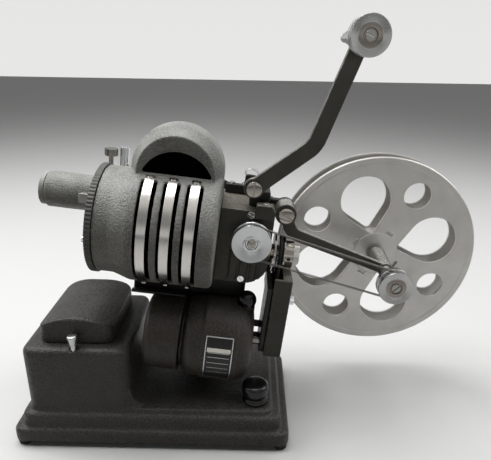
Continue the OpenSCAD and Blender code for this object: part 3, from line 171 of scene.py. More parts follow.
sky.links.new(paths.outputs["Is Glossy Ray"], either.inputs[1])
sky.links.new(either.outputs[0], three_way.inputs[0])
sky.links.new(paths.outputs["Is Transmission Ray"], three_way.inputs[1])
sky.links.new(three_way.outputs[0], choose.inputs["Fac"])
sky.links.new(glow.outputs[0], choose.inputs[1])
sky.links.new(seen.outputs[0], choose.inputs[2])
sky.links.new(choose.outputs[0], result.inputs["Surface"])
bpy.context.scene.view_settings.view_transform = "Standard"
print("surround bands", len(bands))


# %% Lamps
def soft_lamp(name, place, aim, size, watts):
    bpy.ops.object.light_add(type="AREA", location=place)
    lamp = bpy.context.object
    lamp.name = name
    lamp.data.size = size
    lamp.data.energy = watts
    lamp.rotation_euler = (Vector(aim) - Vector(place)).to_track_quat("-Z", "Y").to_euler()
    return lamp


soft_lamp("key", (-0.10, 0.18, 1.25), (0.05, 0, 0.15), 0.8, 11)
soft_lamp("left", (-0.80, 0.10, 0.92), (0, 0, 0.18), 0.7, 7)
soft_lamp("right", (0.95, 0.22, 0.80), (0.05, 0, 0.18), 0.7, 5)
soft_lamp("fill", (0.45, -1.00, 0.60), (0.1, 0, 0.15), 0.8, 0.45)

# %% [markdown]
# ## The head's own axes
# Everything above the base is bolted to a head that is tilted by 6.3 degrees. Its pieces are easiest to
# build straight and then lay into place, so one matrix holds the tilt and three short helpers place a
# piece that is turned about its own Z axis: across the machine, along it, or upright.

# %% Head matrix and placing
TILT, HEAD_Z = radians(6.3), 173
HEAD = Matrix.Translation((0, 0, HEAD_Z * MM)) @ Matrix.Rotation(TILT, 4, "Y")
MOTOR_Y, MOTOR_W = -8, -90.4
ACROSS = Matrix.Rotation(-pi / 2, 4, "X")
ALONG = Matrix.Rotation(pi / 2, 4, "Y")


def on_head(u, y, w, lay=None):
    return HEAD @ Matrix.Translation(Vector((u, y, w)) * MM) @ (lay or Matrix.Identity(4))


def laid(piece, place):
    piece.matrix_world = place @ piece.matrix_world
    alone(piece)
    bpy.ops.object.transform_apply(location=True, rotation=True, scale=True)
    return piece


print("head origin", tuple(round(v, 3) for v in HEAD.translation))

# %% [markdown]
# ## Paint, metal and plastic
# Real paint on a casting isn't one colour. It has a grain that can be felt, a slow change of tone from
# handling, and it wears through to lighter metal on the edges that hands and cloths reach. One function
# builds all the paints from the same layers: a cell pattern for the grain, two noises for the tone, and
# an edge mask. The mask compares the true normal with one that is rounded over half a millimetre, and
# they differ only near an edge. All patterns read Object coordinates in metres, so a scale of 1000 is a
# grain of one millimetre.


# %% Node helpers
def fresh(name):
    material = bpy.data.materials.new(name)
    material.use_nodes = True
    tree = material.node_tree
    return material, tree, tree.nodes["Principled BSDF"]


def add(tree, kind, **settings):
    made = tree.nodes.new("ShaderNode" + kind)
    for key, value in settings.items():
        setattr(made, key, value)
    return made


def join(tree, source, target):
    tree.links.new(source, target)


def noise(tree, where, scale, detail=2.0, rough=0.5):
    made = add(tree, "TexNoise")
    made.inputs["Scale"].default_value = scale
    made.inputs["Detail"].default_value = detail
    made.inputs["Roughness"].default_value = rough
    join(tree, where, made.inputs["Vector"])
    return made.outputs["Fac"]


def ramp(tree, value, low, high, start=0.0, end=1.0):
    made = add(tree, "MapRange")
    made.clamp = True
    made.inputs["From Min"].default_value = low
    made.inputs["From Max"].default_value = high
    made.inputs["To Min"].default_value = start
    made.inputs["To Max"].default_value = end
    join(tree, value, made.inputs["Value"])
    return made.outputs["Result"]


def blend_colour(tree, share, first, second):
    made = add(tree, "Mix", data_type="RGBA")
    join(tree, share, made.inputs["Factor"])
    for value, socket in ((first, made.inputs[6]), (second, made.inputs[7])):
        if isinstance(value, tuple):
            socket.default_value = (*value, 1)
        else:
            join(tree, value, socket)
    return made.outputs[2]


def times(tree, first, second):
    made = add(tree, "Math", operation="MULTIPLY")
    join(tree, first, made.inputs[0])
    if isinstance(second, (int, float)):
        made.inputs[1].default_value = second
    else:
        join(tree, second, made.inputs[1])
    return made.outputs[0]


def edges(tree, reach, low=0.03, high=0.30):
    soft = add(tree, "Bevel", samples=4)
    soft.inputs["Radius"].default_value = reach * MM
    true = add(tree, "NewGeometry")
    dot = add(tree, "VectorMath", operation="DOT_PRODUCT")
    join(tree, soft.outputs["Normal"], dot.inputs[0])
    join(tree, true.outputs["Normal"], dot.inputs[1])
    return ramp(tree, dot.outputs["Value"], 1 - low, 1 - high), soft.outputs["Normal"]


# %% Edges of the remeshed castings
def crests(tree, low=0.515, high=0.56):
    true = add(tree, "NewGeometry")
    return ramp(tree, true.outputs["Pointiness"], low, high), true.outputs["Normal"]


# %% Painted castings
def paint(
    name, dark, light, worn, grain, height, rough,
    wear=0.6, reach=0.7, gloss=0.3, spark=0.0, top=0.0, cast=False,
):
    material, tree, shader = fresh(name)
    where = add(tree, "TexCoord").outputs["Object"]
    cells = add(tree, "TexVoronoi", feature="SMOOTH_F1")
    cells.inputs["Scale"].default_value = 1000 / grain
    cells.inputs["Smoothness"].default_value = 0.6
    warp = noise(tree, where, 700 / grain, 2)
    shift = add(tree, "VectorMath", operation="MULTIPLY_ADD")
    join(tree, warp, shift.inputs[0])
    shift.inputs[1].default_value = (grain * 0.9 * MM,) * 3
    join(tree, where, shift.inputs[2])
    join(tree, shift.outputs[0], cells.inputs["Vector"])
    bumps = cells.outputs["Distance"]
    tone = ramp(tree, noise(tree, where, 45, 3), 0.32, 0.68)
    colour = blend_colour(tree, tone, dark, light)
    if spark:
        flakes = ramp(tree, bumps, 0.10, 0.55, spark, 0.0)
        colour = blend_colour(tree, flakes, colour, worn)
    mask, soft = crests(tree) if cast else edges(tree, reach)
    patchy = ramp(tree, noise(tree, where, 260, 4, 0.7), 0.40, 0.60)
    scuffs = ramp(tree, noise(tree, where, 90, 5, 0.65), 0.69, 0.78, 0, 0.35)
    worn_share = times(tree, times(tree, mask, patchy), wear)
    most = add(tree, "Math", operation="MAXIMUM")
    join(tree, worn_share, most.inputs[0])
    join(tree, times(tree, scuffs, wear * 0.5), most.inputs[1])
    colour = blend_colour(tree, most.outputs[0], colour, worn)
    # Upward faces are lightened toward the worn tone: on the gearbox this is rubbed paint, on the arms it is
    # a painted highlight where the overhead light falls on their top faces.
    if top:
        facing = add(tree, "SeparateXYZ")
        join(tree, add(tree, "TexCoord").outputs["Normal"], facing.inputs[0])
        upward = ramp(tree, facing.outputs["Z"], 0.72, 0.94)
        rubbed_and_lit = times(tree, upward, ramp(tree, noise(tree, where, 900, 4, 0.75), 0.40, 0.62))
        colour = blend_colour(tree, times(tree, rubbed_and_lit, top), colour, worn)
    join(tree, colour, shader.inputs["Base Color"])
    sheen = ramp(tree, noise(tree, where, 300, 3), 0.3, 0.7, rough - 0.06, rough + 0.08)
    join(tree, sheen, shader.inputs["Roughness"])
    shader.inputs["Specular IOR Level"].default_value = gloss
    bump = add(tree, "Bump")
    bump.inputs["Strength"].default_value = 1.0
    bump.inputs["Distance"].default_value = height * MM
    bump.invert = True
    join(tree, bumps, bump.inputs["Height"])
    join(tree, soft, bump.inputs["Normal"])
    join(tree, bump.outputs["Normal"], shader.inputs["Normal"])
    return material


# Each palette: dark tone, light tone, worn tone, grain in mm, grain height in mm, roughness
GREY = ((0.205, 0.205, 0.189), (0.325, 0.325, 0.305), (0.66, 0.66, 0.63), 1.15, 0.34, 0.44)
RIM = ((0.085, 0.083, 0.074), (0.13, 0.128, 0.115), (0.50, 0.50, 0.47), 0.9, 0.10, 0.46)
COAL = ((0.030, 0.028, 0.025), (0.045, 0.042, 0.037), (0.20, 0.19, 0.17), 1.2, 0.36, 0.42)
BROWN = ((0.033, 0.028, 0.022), (0.052, 0.044, 0.036), (0.20, 0.18, 0.145), 1.2, 0.32, 0.40)
OLIVE = ((0.046, 0.044, 0.033), (0.070, 0.067, 0.052), (0.36, 0.34, 0.29), 0.8, 0.07, 0.42)
ARM = ((0.092, 0.088, 0.074), (0.128, 0.123, 0.104), (0.60, 0.59, 0.55), 0.6, 0.015, 0.38)
JET = ((0.010, 0.009, 0.008), (0.018, 0.016, 0.015), (0.12, 0.11, 0.10), 0.7, 0.03, 0.40)
# Near black with no sheen for the light baffles inside the lamphouse: the baffles are real, and this black
# also paints the shade inside the hood.
SOOT_AND_SHADE = ((0.0012, 0.0012, 0.0012), (0.002, 0.002, 0.002), (0.01, 0.01, 0.01), 0.6, 0.01, 0.95)
IRON = ((0.06, 0.05, 0.045), (0.10, 0.085, 0.07), (0.2, 0.18, 0.16), 0.9, 0.03, 0.6)
PALE_RIM = ((0.36, 0.355, 0.33), (0.54, 0.53, 0.50), (0.66, 0.65, 0.61), 0.9, 0.04, 0.5)
hammered = paint("hammered_grey", *GREY, wear=0.4, spark=0.5)
rim_paint = paint("rim_grey", *RIM, wear=0.8, spark=0.1)
hammered_cast = paint("hammered_grey_casting", *GREY, wear=0.5, spark=0.5, cast=True)
wrinkled = paint("wrinkled_anthracite", *COAL, wear=0.3, spark=0.35, cast=True)
motor_paint = paint("brown_black_hammered", *BROWN, wear=0.25, spark=0.35, cast=True)
olive = paint("olive_enamel", *OLIVE, wear=0.9, spark=0.08, top=0.8, cast=True)
# The arms' lighter upward faces are a painted highlight of their lit top edges, not wear.
arm_paint = paint("arm_grey_enamel", *ARM, wear=0.9, top=1.0, cast=True)
satin_black = paint("satin_black", *JET, wear=0.5, reach=0.5)
black_cast = paint("satin_black_casting", *JET, wear=0.6, cast=True)
soot_and_shade = paint("soot_and_painted_shade_black", *SOOT_AND_SHADE, wear=0.0, gloss=0.02)
iron = paint("transformer_iron", *IRON, wear=0.5)
worn_rim = paint("worn_pale_rim", *PALE_RIM, wear=0.9)
print("paints made")


# %% [markdown]
# Metal shows how it was finished. Turned parts carry rings round their axis, rolled strip has fine lines
# along its length, and plated parts are smooth with a few fine scratches. The lines are noise that is
# stretched hard along one direction: a Mapping node squeezes the coordinates along the line.


# %% Metals
def metal(name, colour, rough, lines=None, depth=0.004, reach=0.35, spread=0.06, grime=0.25):
    material, tree, shader = fresh(name)
    where = add(tree, "TexCoord").outputs["Object"]
    squeeze = add(tree, "Mapping")
    squeeze.inputs["Scale"].default_value = lines or (1, 1, 1)
    join(tree, where, squeeze.inputs["Vector"])
    grain = noise(tree, squeeze.outputs["Vector"], 2200, 3, 0.6)
    cloud = noise(tree, where, 70, 4, 0.6)
    shade = ramp(tree, cloud, 0.35, 0.75, 0.0, grime)
    darker = tuple(c * 0.55 for c in colour)
    join(tree, blend_colour(tree, shade, colour, darker), shader.inputs["Base Color"])
    shader.inputs["Metallic"].default_value = 1.0
    join(tree, ramp(tree, grain, 0.3, 0.7, rough - spread, rough + spread), shader.inputs["Roughness"])
    soft = edges(tree, reach)[1]
    bump = add(tree, "Bump")
    bump.inputs["Strength"].default_value = 0.5
    bump.inputs["Distance"].default_value = depth * MM
    join(tree, grain, bump.inputs["Height"])
    join(tree, soft, bump.inputs["Normal"])
    join(tree, bump.outputs["Normal"], shader.inputs["Normal"])
    return material


chrome = metal("plated_chrome", (0.72, 0.73, 0.74), 0.13, depth=0.002, spread=0.04, grime=0.15)
satin_plate = metal("satin_plate", (0.46, 0.47, 0.47), 0.27, depth=0.004)
strip_metal = metal("rolled_strip", (0.55, 0.53, 0.50), 0.20, lines=(1, 0.04, 0.04), depth=0.010, spread=0.07)
steel = metal("turned_steel", (0.48, 0.47, 0.45), 0.30, lines=(1, 0.1, 1), depth=0.006)
dull_steel = metal("dull_steel", (0.34, 0.33, 0.31), 0.42, depth=0.010, grime=0.5)
bronze = metal("bearing_bronze", (0.50, 0.34, 0.15), 0.32, depth=0.006, grime=0.4)
copper = metal("brass_fitting", (0.62, 0.46, 0.20), 0.28, depth=0.006)
mirror_screw = metal(
    "polished_screw", (0.33, 0.31, 0.28), 0.12, depth=0.002, reach=0.15, spread=0.04, grime=0.5
)
print("metals made")


# %% [markdown]
# The reel is pressed from aluminium sheet and etched, which leaves a fine even frost with faint rings
# from the press tool. Its rings need the distance from the reel's own axis, so the Mapping node moves
# the reel's centre to zero first, and a wave of that distance, broken by noise, lifts the surface.


# %% Reel metal
REEL_U, REEL_W = 194.7, -21.3
REEL_X = (REEL_U * cos(TILT) + REEL_W * sin(TILT)) * MM
REEL_Z = (HEAD_Z - REEL_U * sin(TILT) + REEL_W * cos(TILT)) * MM
frosted, tree, shader = fresh("frosted_aluminium")
where = add(tree, "TexCoord").outputs["Object"]
centred = add(tree, "Mapping")
centred.inputs["Location"].default_value = (-REEL_X, 0, -REEL_Z)
join(tree, where, centred.inputs["Vector"])
flat = add(tree, "VectorMath", operation="MULTIPLY")
flat.inputs[1].default_value = (1, 0, 1)
join(tree, centred.outputs["Vector"], flat.inputs[0])
away = add(tree, "VectorMath", operation="LENGTH")
join(tree, flat.outputs[0], away.inputs[0])
rings = add(tree, "TexNoise", noise_dimensions="1D")
rings.inputs["Scale"].default_value = 2400
rings.inputs["Detail"].default_value = 3
join(tree, away.outputs["Value"], rings.inputs["W"])
frost = noise(tree, where, 1500, 3, 0.6)
cloud = noise(tree, where, 38, 4, 0.6)
cloudy = blend_colour(tree, ramp(tree, cloud, 0.3, 0.75), (0.60, 0.585, 0.56), (0.48, 0.47, 0.445))
join(tree, cloudy, shader.inputs["Base Color"])
shader.inputs["Metallic"].default_value = 0.75
join(tree, ramp(tree, frost, 0.3, 0.7, 0.36, 0.48), shader.inputs["Roughness"])
lift = add(tree, "Math", operation="MULTIPLY_ADD")
join(tree, rings.outputs["Fac"], lift.inputs[0])
lift.inputs[1].default_value = 0.5
join(tree, frost, lift.inputs[2])
soft = edges(tree, 0.4)[1]
bump = add(tree, "Bump")
bump.inputs["Strength"].default_value = 0.5
bump.inputs["Distance"].default_value = 0.010 * MM
join(tree, lift.outputs[0], bump.inputs["Height"])
join(tree, soft, bump.inputs["Normal"])
join(tree, bump.outputs["Normal"], shader.inputs["Normal"])
print("reel centre in mm", round(REEL_X / MM, 1), round(REEL_Z / MM, 1))


# %% [markdown]
# The knobs are black moulded phenolic resin with a clear gloss, the feet and the motor belt are dull
# rubber, and the bulb and lenses are glass.


# %% Plastic, rubber and glass
def moulded(name, colour, rough, coat, bumpiness, size=500, dust=0.2):
    material, tree, shader = fresh(name)
    where = add(tree, "TexCoord").outputs["Object"]
    marks = noise(tree, where, size, 3, 0.6)
    dusty = ramp(tree, noise(tree, where, 120, 4, 0.6), 0.5, 0.8, 0, dust)
    lighter = tuple(min(1, c * 1.8 + 0.012) for c in colour)
    join(tree, blend_colour(tree, dusty, colour, lighter), shader.inputs["Base Color"])
    join(tree, ramp(tree, marks, 0.3, 0.7, rough * 0.9, rough * 1.15), shader.inputs["Roughness"])
    shader.inputs["Coat Weight"].default_value = coat
    shader.inputs["Specular IOR Level"].default_value = 0.35
    shader.inputs["Coat Roughness"].default_value = 0.08
    bump = add(tree, "Bump")
    bump.inputs["Strength"].default_value = 0.4
    bump.inputs["Distance"].default_value = bumpiness * MM
    join(tree, marks, bump.inputs["Height"])
    join(tree, bump.outputs["Normal"], shader.inputs["Normal"])
    return material


phenolic = moulded("black_phenolic", (0.005, 0.005, 0.006), 0.22, 0.0, 0.001, dust=0.05)
rubber = moulded("dull_rubber", (0.020, 0.019, 0.018), 0.75, 0.0, 0.03)
ceramic = moulded("wound_ceramic", (0.16, 0.12, 0.09), 0.7, 0.0, 0.03)


def clear(name, tint, rough):
    material, tree, shader = fresh(name)
    where = add(tree, "TexCoord").outputs["Object"]
    smears = ramp(tree, noise(tree, where, 220, 3), 0.3, 0.7, rough * 0.5, rough * 1.5)
    join(tree, smears, shader.inputs["Roughness"])
    shader.inputs["Base Color"].default_value = (*tint, 1)
    shader.inputs["Transmission Weight"].default_value = 1.0
    shader.inputs["IOR"].default_value = 1.5
    return material


glass = clear("lens_glass", (0.93, 0.97, 0.98), 0.03)
silvered = metal("silvered_mirror", (0.88, 0.88, 0.89), 0.05, depth=0.001, spread=0.02, grime=0.05)
print("plastics and glass made")


# %% [markdown]
# ## Pieces that keep their CAD shape
# Shafts, bushes, mirrors, screws and everything inside the housings are already exact, so they stay as
# they are and only get a finish. The edge mask in the metals rounds their sharp corners to the eye.


# %% Finishes of the kept nodes
def finish_with(material, *names):
    for name in names:
        slots = cad[name].data.materials
        slots.clear()
        slots.append(material)


finish_with(satin_black, "bottom_plate", "support_column", "mirror_box", "shutter_disc")
finish_with(rubber, "rubber_feet", "motor_belt")
finish_with(iron, "transformer")
finish_with(ceramic, "resistors")
finish_with(phenolic, "mains_inlet", "tilt_knob", "shaft_wheel")
finish_with(chrome, "slotted_screws", "pivot_screws", "end_cover_screws", "pressure_plate", "gate_plunger")
finish_with(satin_plate, "power_button")
finish_with(rim_paint, "end_cover")
finish_with(hammered, "main_plate")
finish_with(strip_metal, "cooling_strips")
# The baffles' near black is their own finish and also painted shade inside the lamphouse.
finish_with(soot_and_shade, "inner_baffles")
finish_with(bronze, "bearing_bushes", "shutter_drive")
finish_with(copper, "lamp_socket")
finish_with(glass, "lamp_bulb", "condenser_lenses", "lens_glass")
finish_with(silvered, "mirrors")
finish_with(dull_steel, "gate_block", "film_guides", "claw", "motor_rotor")
finish_with(steel, "upper_spindle", "takeup_spindle", "cross_shaft", "main_sprocket", "inching_knob")
finish_with(mirror_screw, "main_shaft", "focus_knob")
finish_with(worn_rim, "lens_barrel")
finish_with(frosted, "reel")
print("kept nodes finished")

# %% [markdown]
# ## Castings with soft edges
# A sand casting has no sharp edge: the corners are rounded and the inner corners are filled. Bevelling a
# boolean shape edge by edge breaks where many cuts meet. So a copy of each CAD casting is merged, wrapped
# in a new even skin by a voxel remesh, and smoothed for a few rounds, which rounds outer and inner corners
# alike. The flat parts are thinned out again afterwards. The skin is fine enough for the paint to find
# the ridges: their pointiness drives the wear.


# %% Casting from a CAD node
def recast(node, body, name, skin, rounds, material, keep=0.5):
    alone(cad[node])
    bpy.ops.object.duplicate()
    piece = bpy.context.object
    bpy.ops.object.parent_clear(type="CLEAR_KEEP_TRANSFORM")
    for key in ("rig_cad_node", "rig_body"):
        if key in piece:
            del piece[key]
    piece.name = name
    bpy.ops.mesh.customdata_custom_splitnormals_clear()
    bpy.ops.object.mode_set(mode="EDIT")
    bpy.ops.mesh.select_all(action="SELECT")
    bpy.ops.mesh.remove_doubles(threshold=0.00001)
    bpy.ops.object.mode_set(mode="OBJECT")
    melt = piece.modifiers.new("melt", "REMESH")
    melt.mode = "VOXEL"
    melt.voxel_size = skin * MM
    bpy.ops.object.modifier_apply(modifier="melt")
    soften = piece.modifiers.new("soften", "SMOOTH")
    soften.factor = 0.5
    soften.iterations = rounds
    bpy.ops.object.modifier_apply(modifier="soften")
    thin = piece.modifiers.new("thin", "DECIMATE")
    thin.ratio = keep
    bpy.ops.object.modifier_apply(modifier="thin")
    bpy.ops.object.shade_smooth()
    piece.data.materials.clear()
    piece.data.materials.append(material)
    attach(piece, body)
    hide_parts(node)
    print(name, "faces", len(piece.data.polygons))
    return piece


# %% All castings
recast("base_casting", "base", "base_shell", 0.95, 10, wrinkled, 0.45)
recast("resistor_cover", "base", "domed_cover", 0.7, 10, wrinkled, 0.6)
recast("lamphouse", "head", "lamphouse_shell", 0.8, 7, hammered_cast, 0.55)
recast("lens_sleeve", "head", "lens_tube", 0.7, 5, hammered_cast)
recast("gearbox_housing", "head", "gearbox_shell", 0.6, 5, olive, 0.6)
recast("motor_fan_housing", "head", "fan_shell", 0.7, 5, motor_paint, 0.6)
recast("motor_body", "head", "motor_shell", 0.7, 6, motor_paint, 0.6)
recast("head_cradle", "head", "cradle_casting", 0.7, 5, black_cast)
recast("belt_guard", "head", "guard_shell", 0.6, 5, olive)
recast("arm_bracket", "head", "bracket_casting", 0.55, 4, black_cast)
recast("upper_arm", "feed_arm", "upper_arm_casting", 0.5, 4, arm_paint)
recast("lower_arm", "takeup_arm", "lower_arm_casting", 0.5, 4, arm_paint)

# %% [markdown]
# ## Turned pieces
# Pulleys, knobs and the brush cap come off a lathe or out of a round mould. Their outline is drawn as a
# chain of points, pulled out one by one from a single vertex, and spun once round the Z axis. The same
# helper serves all of them, with the outline in millimetres as (radius, height).


# %% Lathe
def turned(name, outline, material, place, steps=72, crease=28):
    bpy.ops.object.select_all(action="DESELECT")
    bpy.ops.mesh.primitive_plane_add(size=0.001, location=(0, 0, 0))
    piece = bpy.context.object
    piece.name = name
    bpy.ops.object.mode_set(mode="EDIT")
    bpy.ops.mesh.select_all(action="SELECT")
    bpy.ops.mesh.merge(type="CENTER")
    bpy.ops.transform.translate(value=(outline[0][0] * MM, 0, outline[0][1] * MM))
    for (r0, z0), (r1, z1) in zip(outline, outline[1:]):
        step = ((r1 - r0) * MM, 0, (z1 - z0) * MM)
        bpy.ops.mesh.extrude_region_move(TRANSFORM_OT_translate={"value": step})
    bpy.ops.mesh.select_all(action="SELECT")
    bpy.ops.mesh.spin(steps=steps, angle=2 * pi, center=(0, 0, 0), axis=(0, 0, 1))
    bpy.ops.mesh.select_all(action="SELECT")
    bpy.ops.mesh.remove_doubles(threshold=0.000002)
    bpy.ops.mesh.normals_make_consistent(inside=False)
    bpy.ops.object.mode_set(mode="OBJECT")
    laid(piece, place)
    bpy.ops.object.shade_smooth_by_angle(angle=radians(crease))
    piece.data.materials.append(material)
    return piece


def bow(centre, radius, start, end, count):
    turns = [radians(start + (end - start) * i / count) for i in range(count + 1)]
    return [(centre[0] + radius * cos(t), centre[1] + radius * sin(t)) for t in turns]


# %% [markdown]
# The three pulleys are the brightest pieces of the front. Each has a thin rim, a face that slopes gently
# inwards, a flat middle and a screw in its centre, and a V groove for the belt. The outline starts and
# ends on the bore, so the spun shape is closed and fits over its shaft. The slot of a screw head is cut
# with a Boolean modifier from a thin bar.

# %% Pulleys
turned_face = metal("turned_pulley_face", (0.50, 0.51, 0.51), 0.24, depth=0.003, spread=0.05, grime=0.2)
BELT_Y = -15.4
small_face = metal("worn_pulley_face", (0.40, 0.40, 0.39), 0.26, depth=0.004, spread=0.06, grime=0.4)
aged_disc = metal("aged_disc", (0.25, 0.225, 0.20), 0.30, depth=0.005, spread=0.08, grime=0.4)


def pulley(name, body, node, centre, radius, groove, bore, front, back, flat, face_metal):
    top = [(bore, front + 1.5), (4.4, front + 1.5), (4.6, front + 1.2), (4.7, front + 0.75)]
    top += [(5.0, front + 0.6), (flat - 0.4, front + 0.9), (flat, front + 1.1), (flat + 0.3, front + 1.0)]
    top += [(radius - 0.9, front + 0.05), (radius - 0.5, front), (radius - 0.15, front + 0.2)]
    top += [(radius, front + 0.6)]
    low, high = BELT_Y - 1.8, BELT_Y + 1.8
    side = [(radius, low - 0.3), (radius - 0.2, low), (groove + 0.4, BELT_Y - 0.95), (groove, BELT_Y - 0.6)]
    side += [(groove, BELT_Y + 0.6), (groove + 0.4, BELT_Y + 0.95)]
    side += [(radius - 0.2, high), (radius, high + 0.3)]
    rear = [(radius, back - 0.6), (radius - 0.6, back), (bore, back), (bore, front + 1.5)]
    piece = turned(name, top + side + rear, face_metal, Matrix.Identity(4), 96)
    if face_metal == small_face:
        piece.data.materials.append(aged_disc)
        for face in piece.data.polygons:
            away_from_axis = Vector(face.center[:2]).length / MM
            face.material_index = int(away_from_axis < flat - 0.5 and face.center.z < (front + 2) * MM)
    laid(piece, on_head(centre[0], 0, centre[1], ACROSS))
    bpy.ops.object.shade_smooth_by_angle(angle=radians(28))
    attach(piece, body)
    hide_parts(node)
    return piece


CROSS, FEED, WIND = (78, 1.3), (135.7, 156), (REEL_U, REEL_W)
large = dict(radius=15.4, groove=12.0, bore=3.0, front=-21, back=-7, flat=6.6, face_metal=turned_face)
small = dict(radius=13.6, groove=10.2, bore=3.0, front=-20.6, back=-9, flat=8.4, face_metal=small_face)
pulley("front_pulley", "cross", "drive_pulley", CROSS, **large)
pulley("feed_pulley", "feed_spindle", "upper_pulley", FEED, **small)
pulley("winding_pulley", "takeup", "takeup_pulley", WIND, **small)
print("pulleys made")


# %% Slotted pulley screws
def slotted_head(name, body, centre, front, radius, height, turn, material, dome=0.0, cut_w=0.9, shank=0):
    outline = [(0, front + height), (radius, front + height), (radius, front + 0.35), (radius - 0.35, front)]
    if shank:
        outline[0:1] = [(0, shank), (2.9, shank), (2.9, front + height)]
    outline += [(radius * (1 - i / 6), front - dome * (1 - (1 - i / 6) ** 2)) for i in range(1, 7)]
    piece = turned(name, outline, material, Matrix.Identity(4), 64)
    size = Vector((3 * radius, cut_w, 2.8)) * MM
    bpy.ops.object.select_all(action="DESELECT")
    bpy.ops.mesh.primitive_cube_add(size=1, location=(0, 0, front * MM), scale=size)
    cutter = bpy.context.object
    alone(piece)
    cut = piece.modifiers.new("slot", "BOOLEAN")
    cut.operation = "DIFFERENCE"
    cut.solver = "EXACT"
    cut.object = cutter
    bpy.ops.object.modifier_apply(modifier="slot")
    bpy.data.objects.remove(cutter)
    laid(piece, on_head(centre[0], 0, centre[1], ACROSS @ Matrix.Rotation(radians(turn), 4, "Z")))
    bpy.ops.object.shade_smooth_by_angle(angle=radians(30))
    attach(piece, body)
    return piece


dark_screw = metal("dark_screw", (0.16, 0.155, 0.14), 0.35, depth=0.006, grime=0.4)
pivot = dict(radius=6.2, height=3.4, material=mirror_screw, dome=0.6, cut_w=1.2)
worn = dict(front=-20.2, radius=3.6, height=1.0, material=dull_steel)
upper_screw = slotted_head("upper_pivot_screw", "head", (75, 39), front=-3.7, turn=90, shank=9.7, **pivot)
slotted_head("lower_pivot_screw", "head", (103, 20.3), front=-1.2, turn=25, shank=24.7, **pivot)
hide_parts("pivot_screws")
slotted_head("front_plug", "head", (75.3, 20.4), -9.5, 2.95, 3.3, 30, dark_screw, 0.2, 0.6)
slotted_head("front_pulley_screw", "cross", CROSS, -20.9, 3.3, 1.45, 65, mirror_screw, 0.5)
slotted_head("feed_pulley_screw", "feed_spindle", FEED, turn=20, **worn)
slotted_head("winding_pulley_screw", "takeup", WIND, turn=130, **worn)
print("screws made")

# %% [markdown]
# Two pieces are bent from strip: the thumb spring on the bracket, and a black lip over the joint
# between the cradle and the motor, a dark sheet that also fills the shaded gap under the drum with painted
# shade. A row of points gives the bend, one pull gives the width, and a Solidify and a Bevel modifier give
# the thickness and the soft edges.


# %% Curled thumb spring on the bracket
def ribbon(name, points, y0, y1, thick, material, body, place=HEAD):
    bpy.ops.object.select_all(action="DESELECT")
    bpy.ops.mesh.primitive_plane_add(size=0.001, location=(0, 0, 0))
    piece = bpy.context.object
    piece.name = name
    bpy.ops.object.mode_set(mode="EDIT")
    bpy.ops.mesh.select_all(action="SELECT")
    bpy.ops.mesh.merge(type="CENTER")
    bpy.ops.transform.translate(value=(points[0][0] * MM, y0 * MM, points[0][1] * MM))
    for (u0, w0), (u1, w1) in zip(points, points[1:]):
        step = ((u1 - u0) * MM, 0, (w1 - w0) * MM)
        bpy.ops.mesh.extrude_region_move(TRANSFORM_OT_translate={"value": step})
    bpy.ops.mesh.select_all(action="SELECT")
    bpy.ops.mesh.extrude_region_move(TRANSFORM_OT_translate={"value": (0, (y1 - y0) * MM, 0)})
    bpy.ops.object.mode_set(mode="OBJECT")
    sheet = piece.modifiers.new("sheet", "SOLIDIFY")
    sheet.thickness = thick * MM
    sheet.offset = 0
    bpy.ops.object.modifier_apply(modifier="sheet")
    soft = piece.modifiers.new("soft", "BEVEL")
    soft.width = thick * 0.3 * MM
    soft.segments = 2
    bpy.ops.object.modifier_apply(modifier="soft")
    laid(piece, place)
    bpy.ops.object.shade_smooth_by_angle(angle=radians(50))
    piece.data.materials.append(material)
    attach(piece, body)
    return piece


curl = [(68.4, 47.2), (67.4, 48.6), (67.2, 50.0), (67.9, 51.3), (69.4, 52.2), (71.6, 52.5)]
curl += [(73.8, 52.1), (75.6, 51.2), (77.0, 49.9), (77.8, 48.6)]
ribbon("thumb_spring", curl, 5.4, 10.2, 0.9, chrome, "head")

# %% Black lip over the joint between the cradle and the motor: a dark sheet that paints the shade there
LIP_R = 32.1
shade_lip_bend = [(MOTOR_Y + LIP_R * sin(radians(a)), MOTOR_W + LIP_R * cos(radians(a))) for a in range(27, 3, -3)]
ribbon("shade_filling_lip", shade_lip_bend, -31, 14, 2.6, satin_black, "head", HEAD @ Matrix.Rotation(pi / 2, 4, "Z"))
print("strip pieces made")

# %% [markdown]
# The deck knob, the push button and the brush cap are small, but they carry the sharpest highlights of
# the machine, so their outlines follow an arc with enough points to stay round.

# %% Deck knob
KNOB_R, KNOB_H = 10.9, 17.5
outline = [(3.0, 0.4), (KNOB_R - 1.2, 0.3), (KNOB_R - 0.6, 0.6), (KNOB_R - 0.4, 1.6), (KNOB_R - 0.6, 2.8)]
outline += [(KNOB_R - 1.3, 3.8), (KNOB_R - 1.8, 4.6), (KNOB_R - 1.7, 5.6), (KNOB_R - 0.9, 6.8)]
outline += [(KNOB_R - 0.3, 8.0), (KNOB_R - 0.05, 9.4), (KNOB_R - 0.05, 12.0)]
outline += bow((KNOB_R - 4.05, KNOB_H - 4.6), 4.0, 8, 76, 8)
outline += [(KNOB_R - 5.4, KNOB_H - 0.36), (KNOB_R - 8, KNOB_H - 0.1), (0, KNOB_H), (0, 0.4), (3.0, 0.4)]
KNOB_AT = Matrix.Translation(Vector((83.2, -33.5, 33)) * MM)
deck_knob = turned("deck_knob", outline, phenolic, KNOB_AT, 96, 40)
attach(deck_knob, "speed_control")
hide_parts("rheostat_knob")
print("deck knob faces", len(deck_knob.data.polygons))

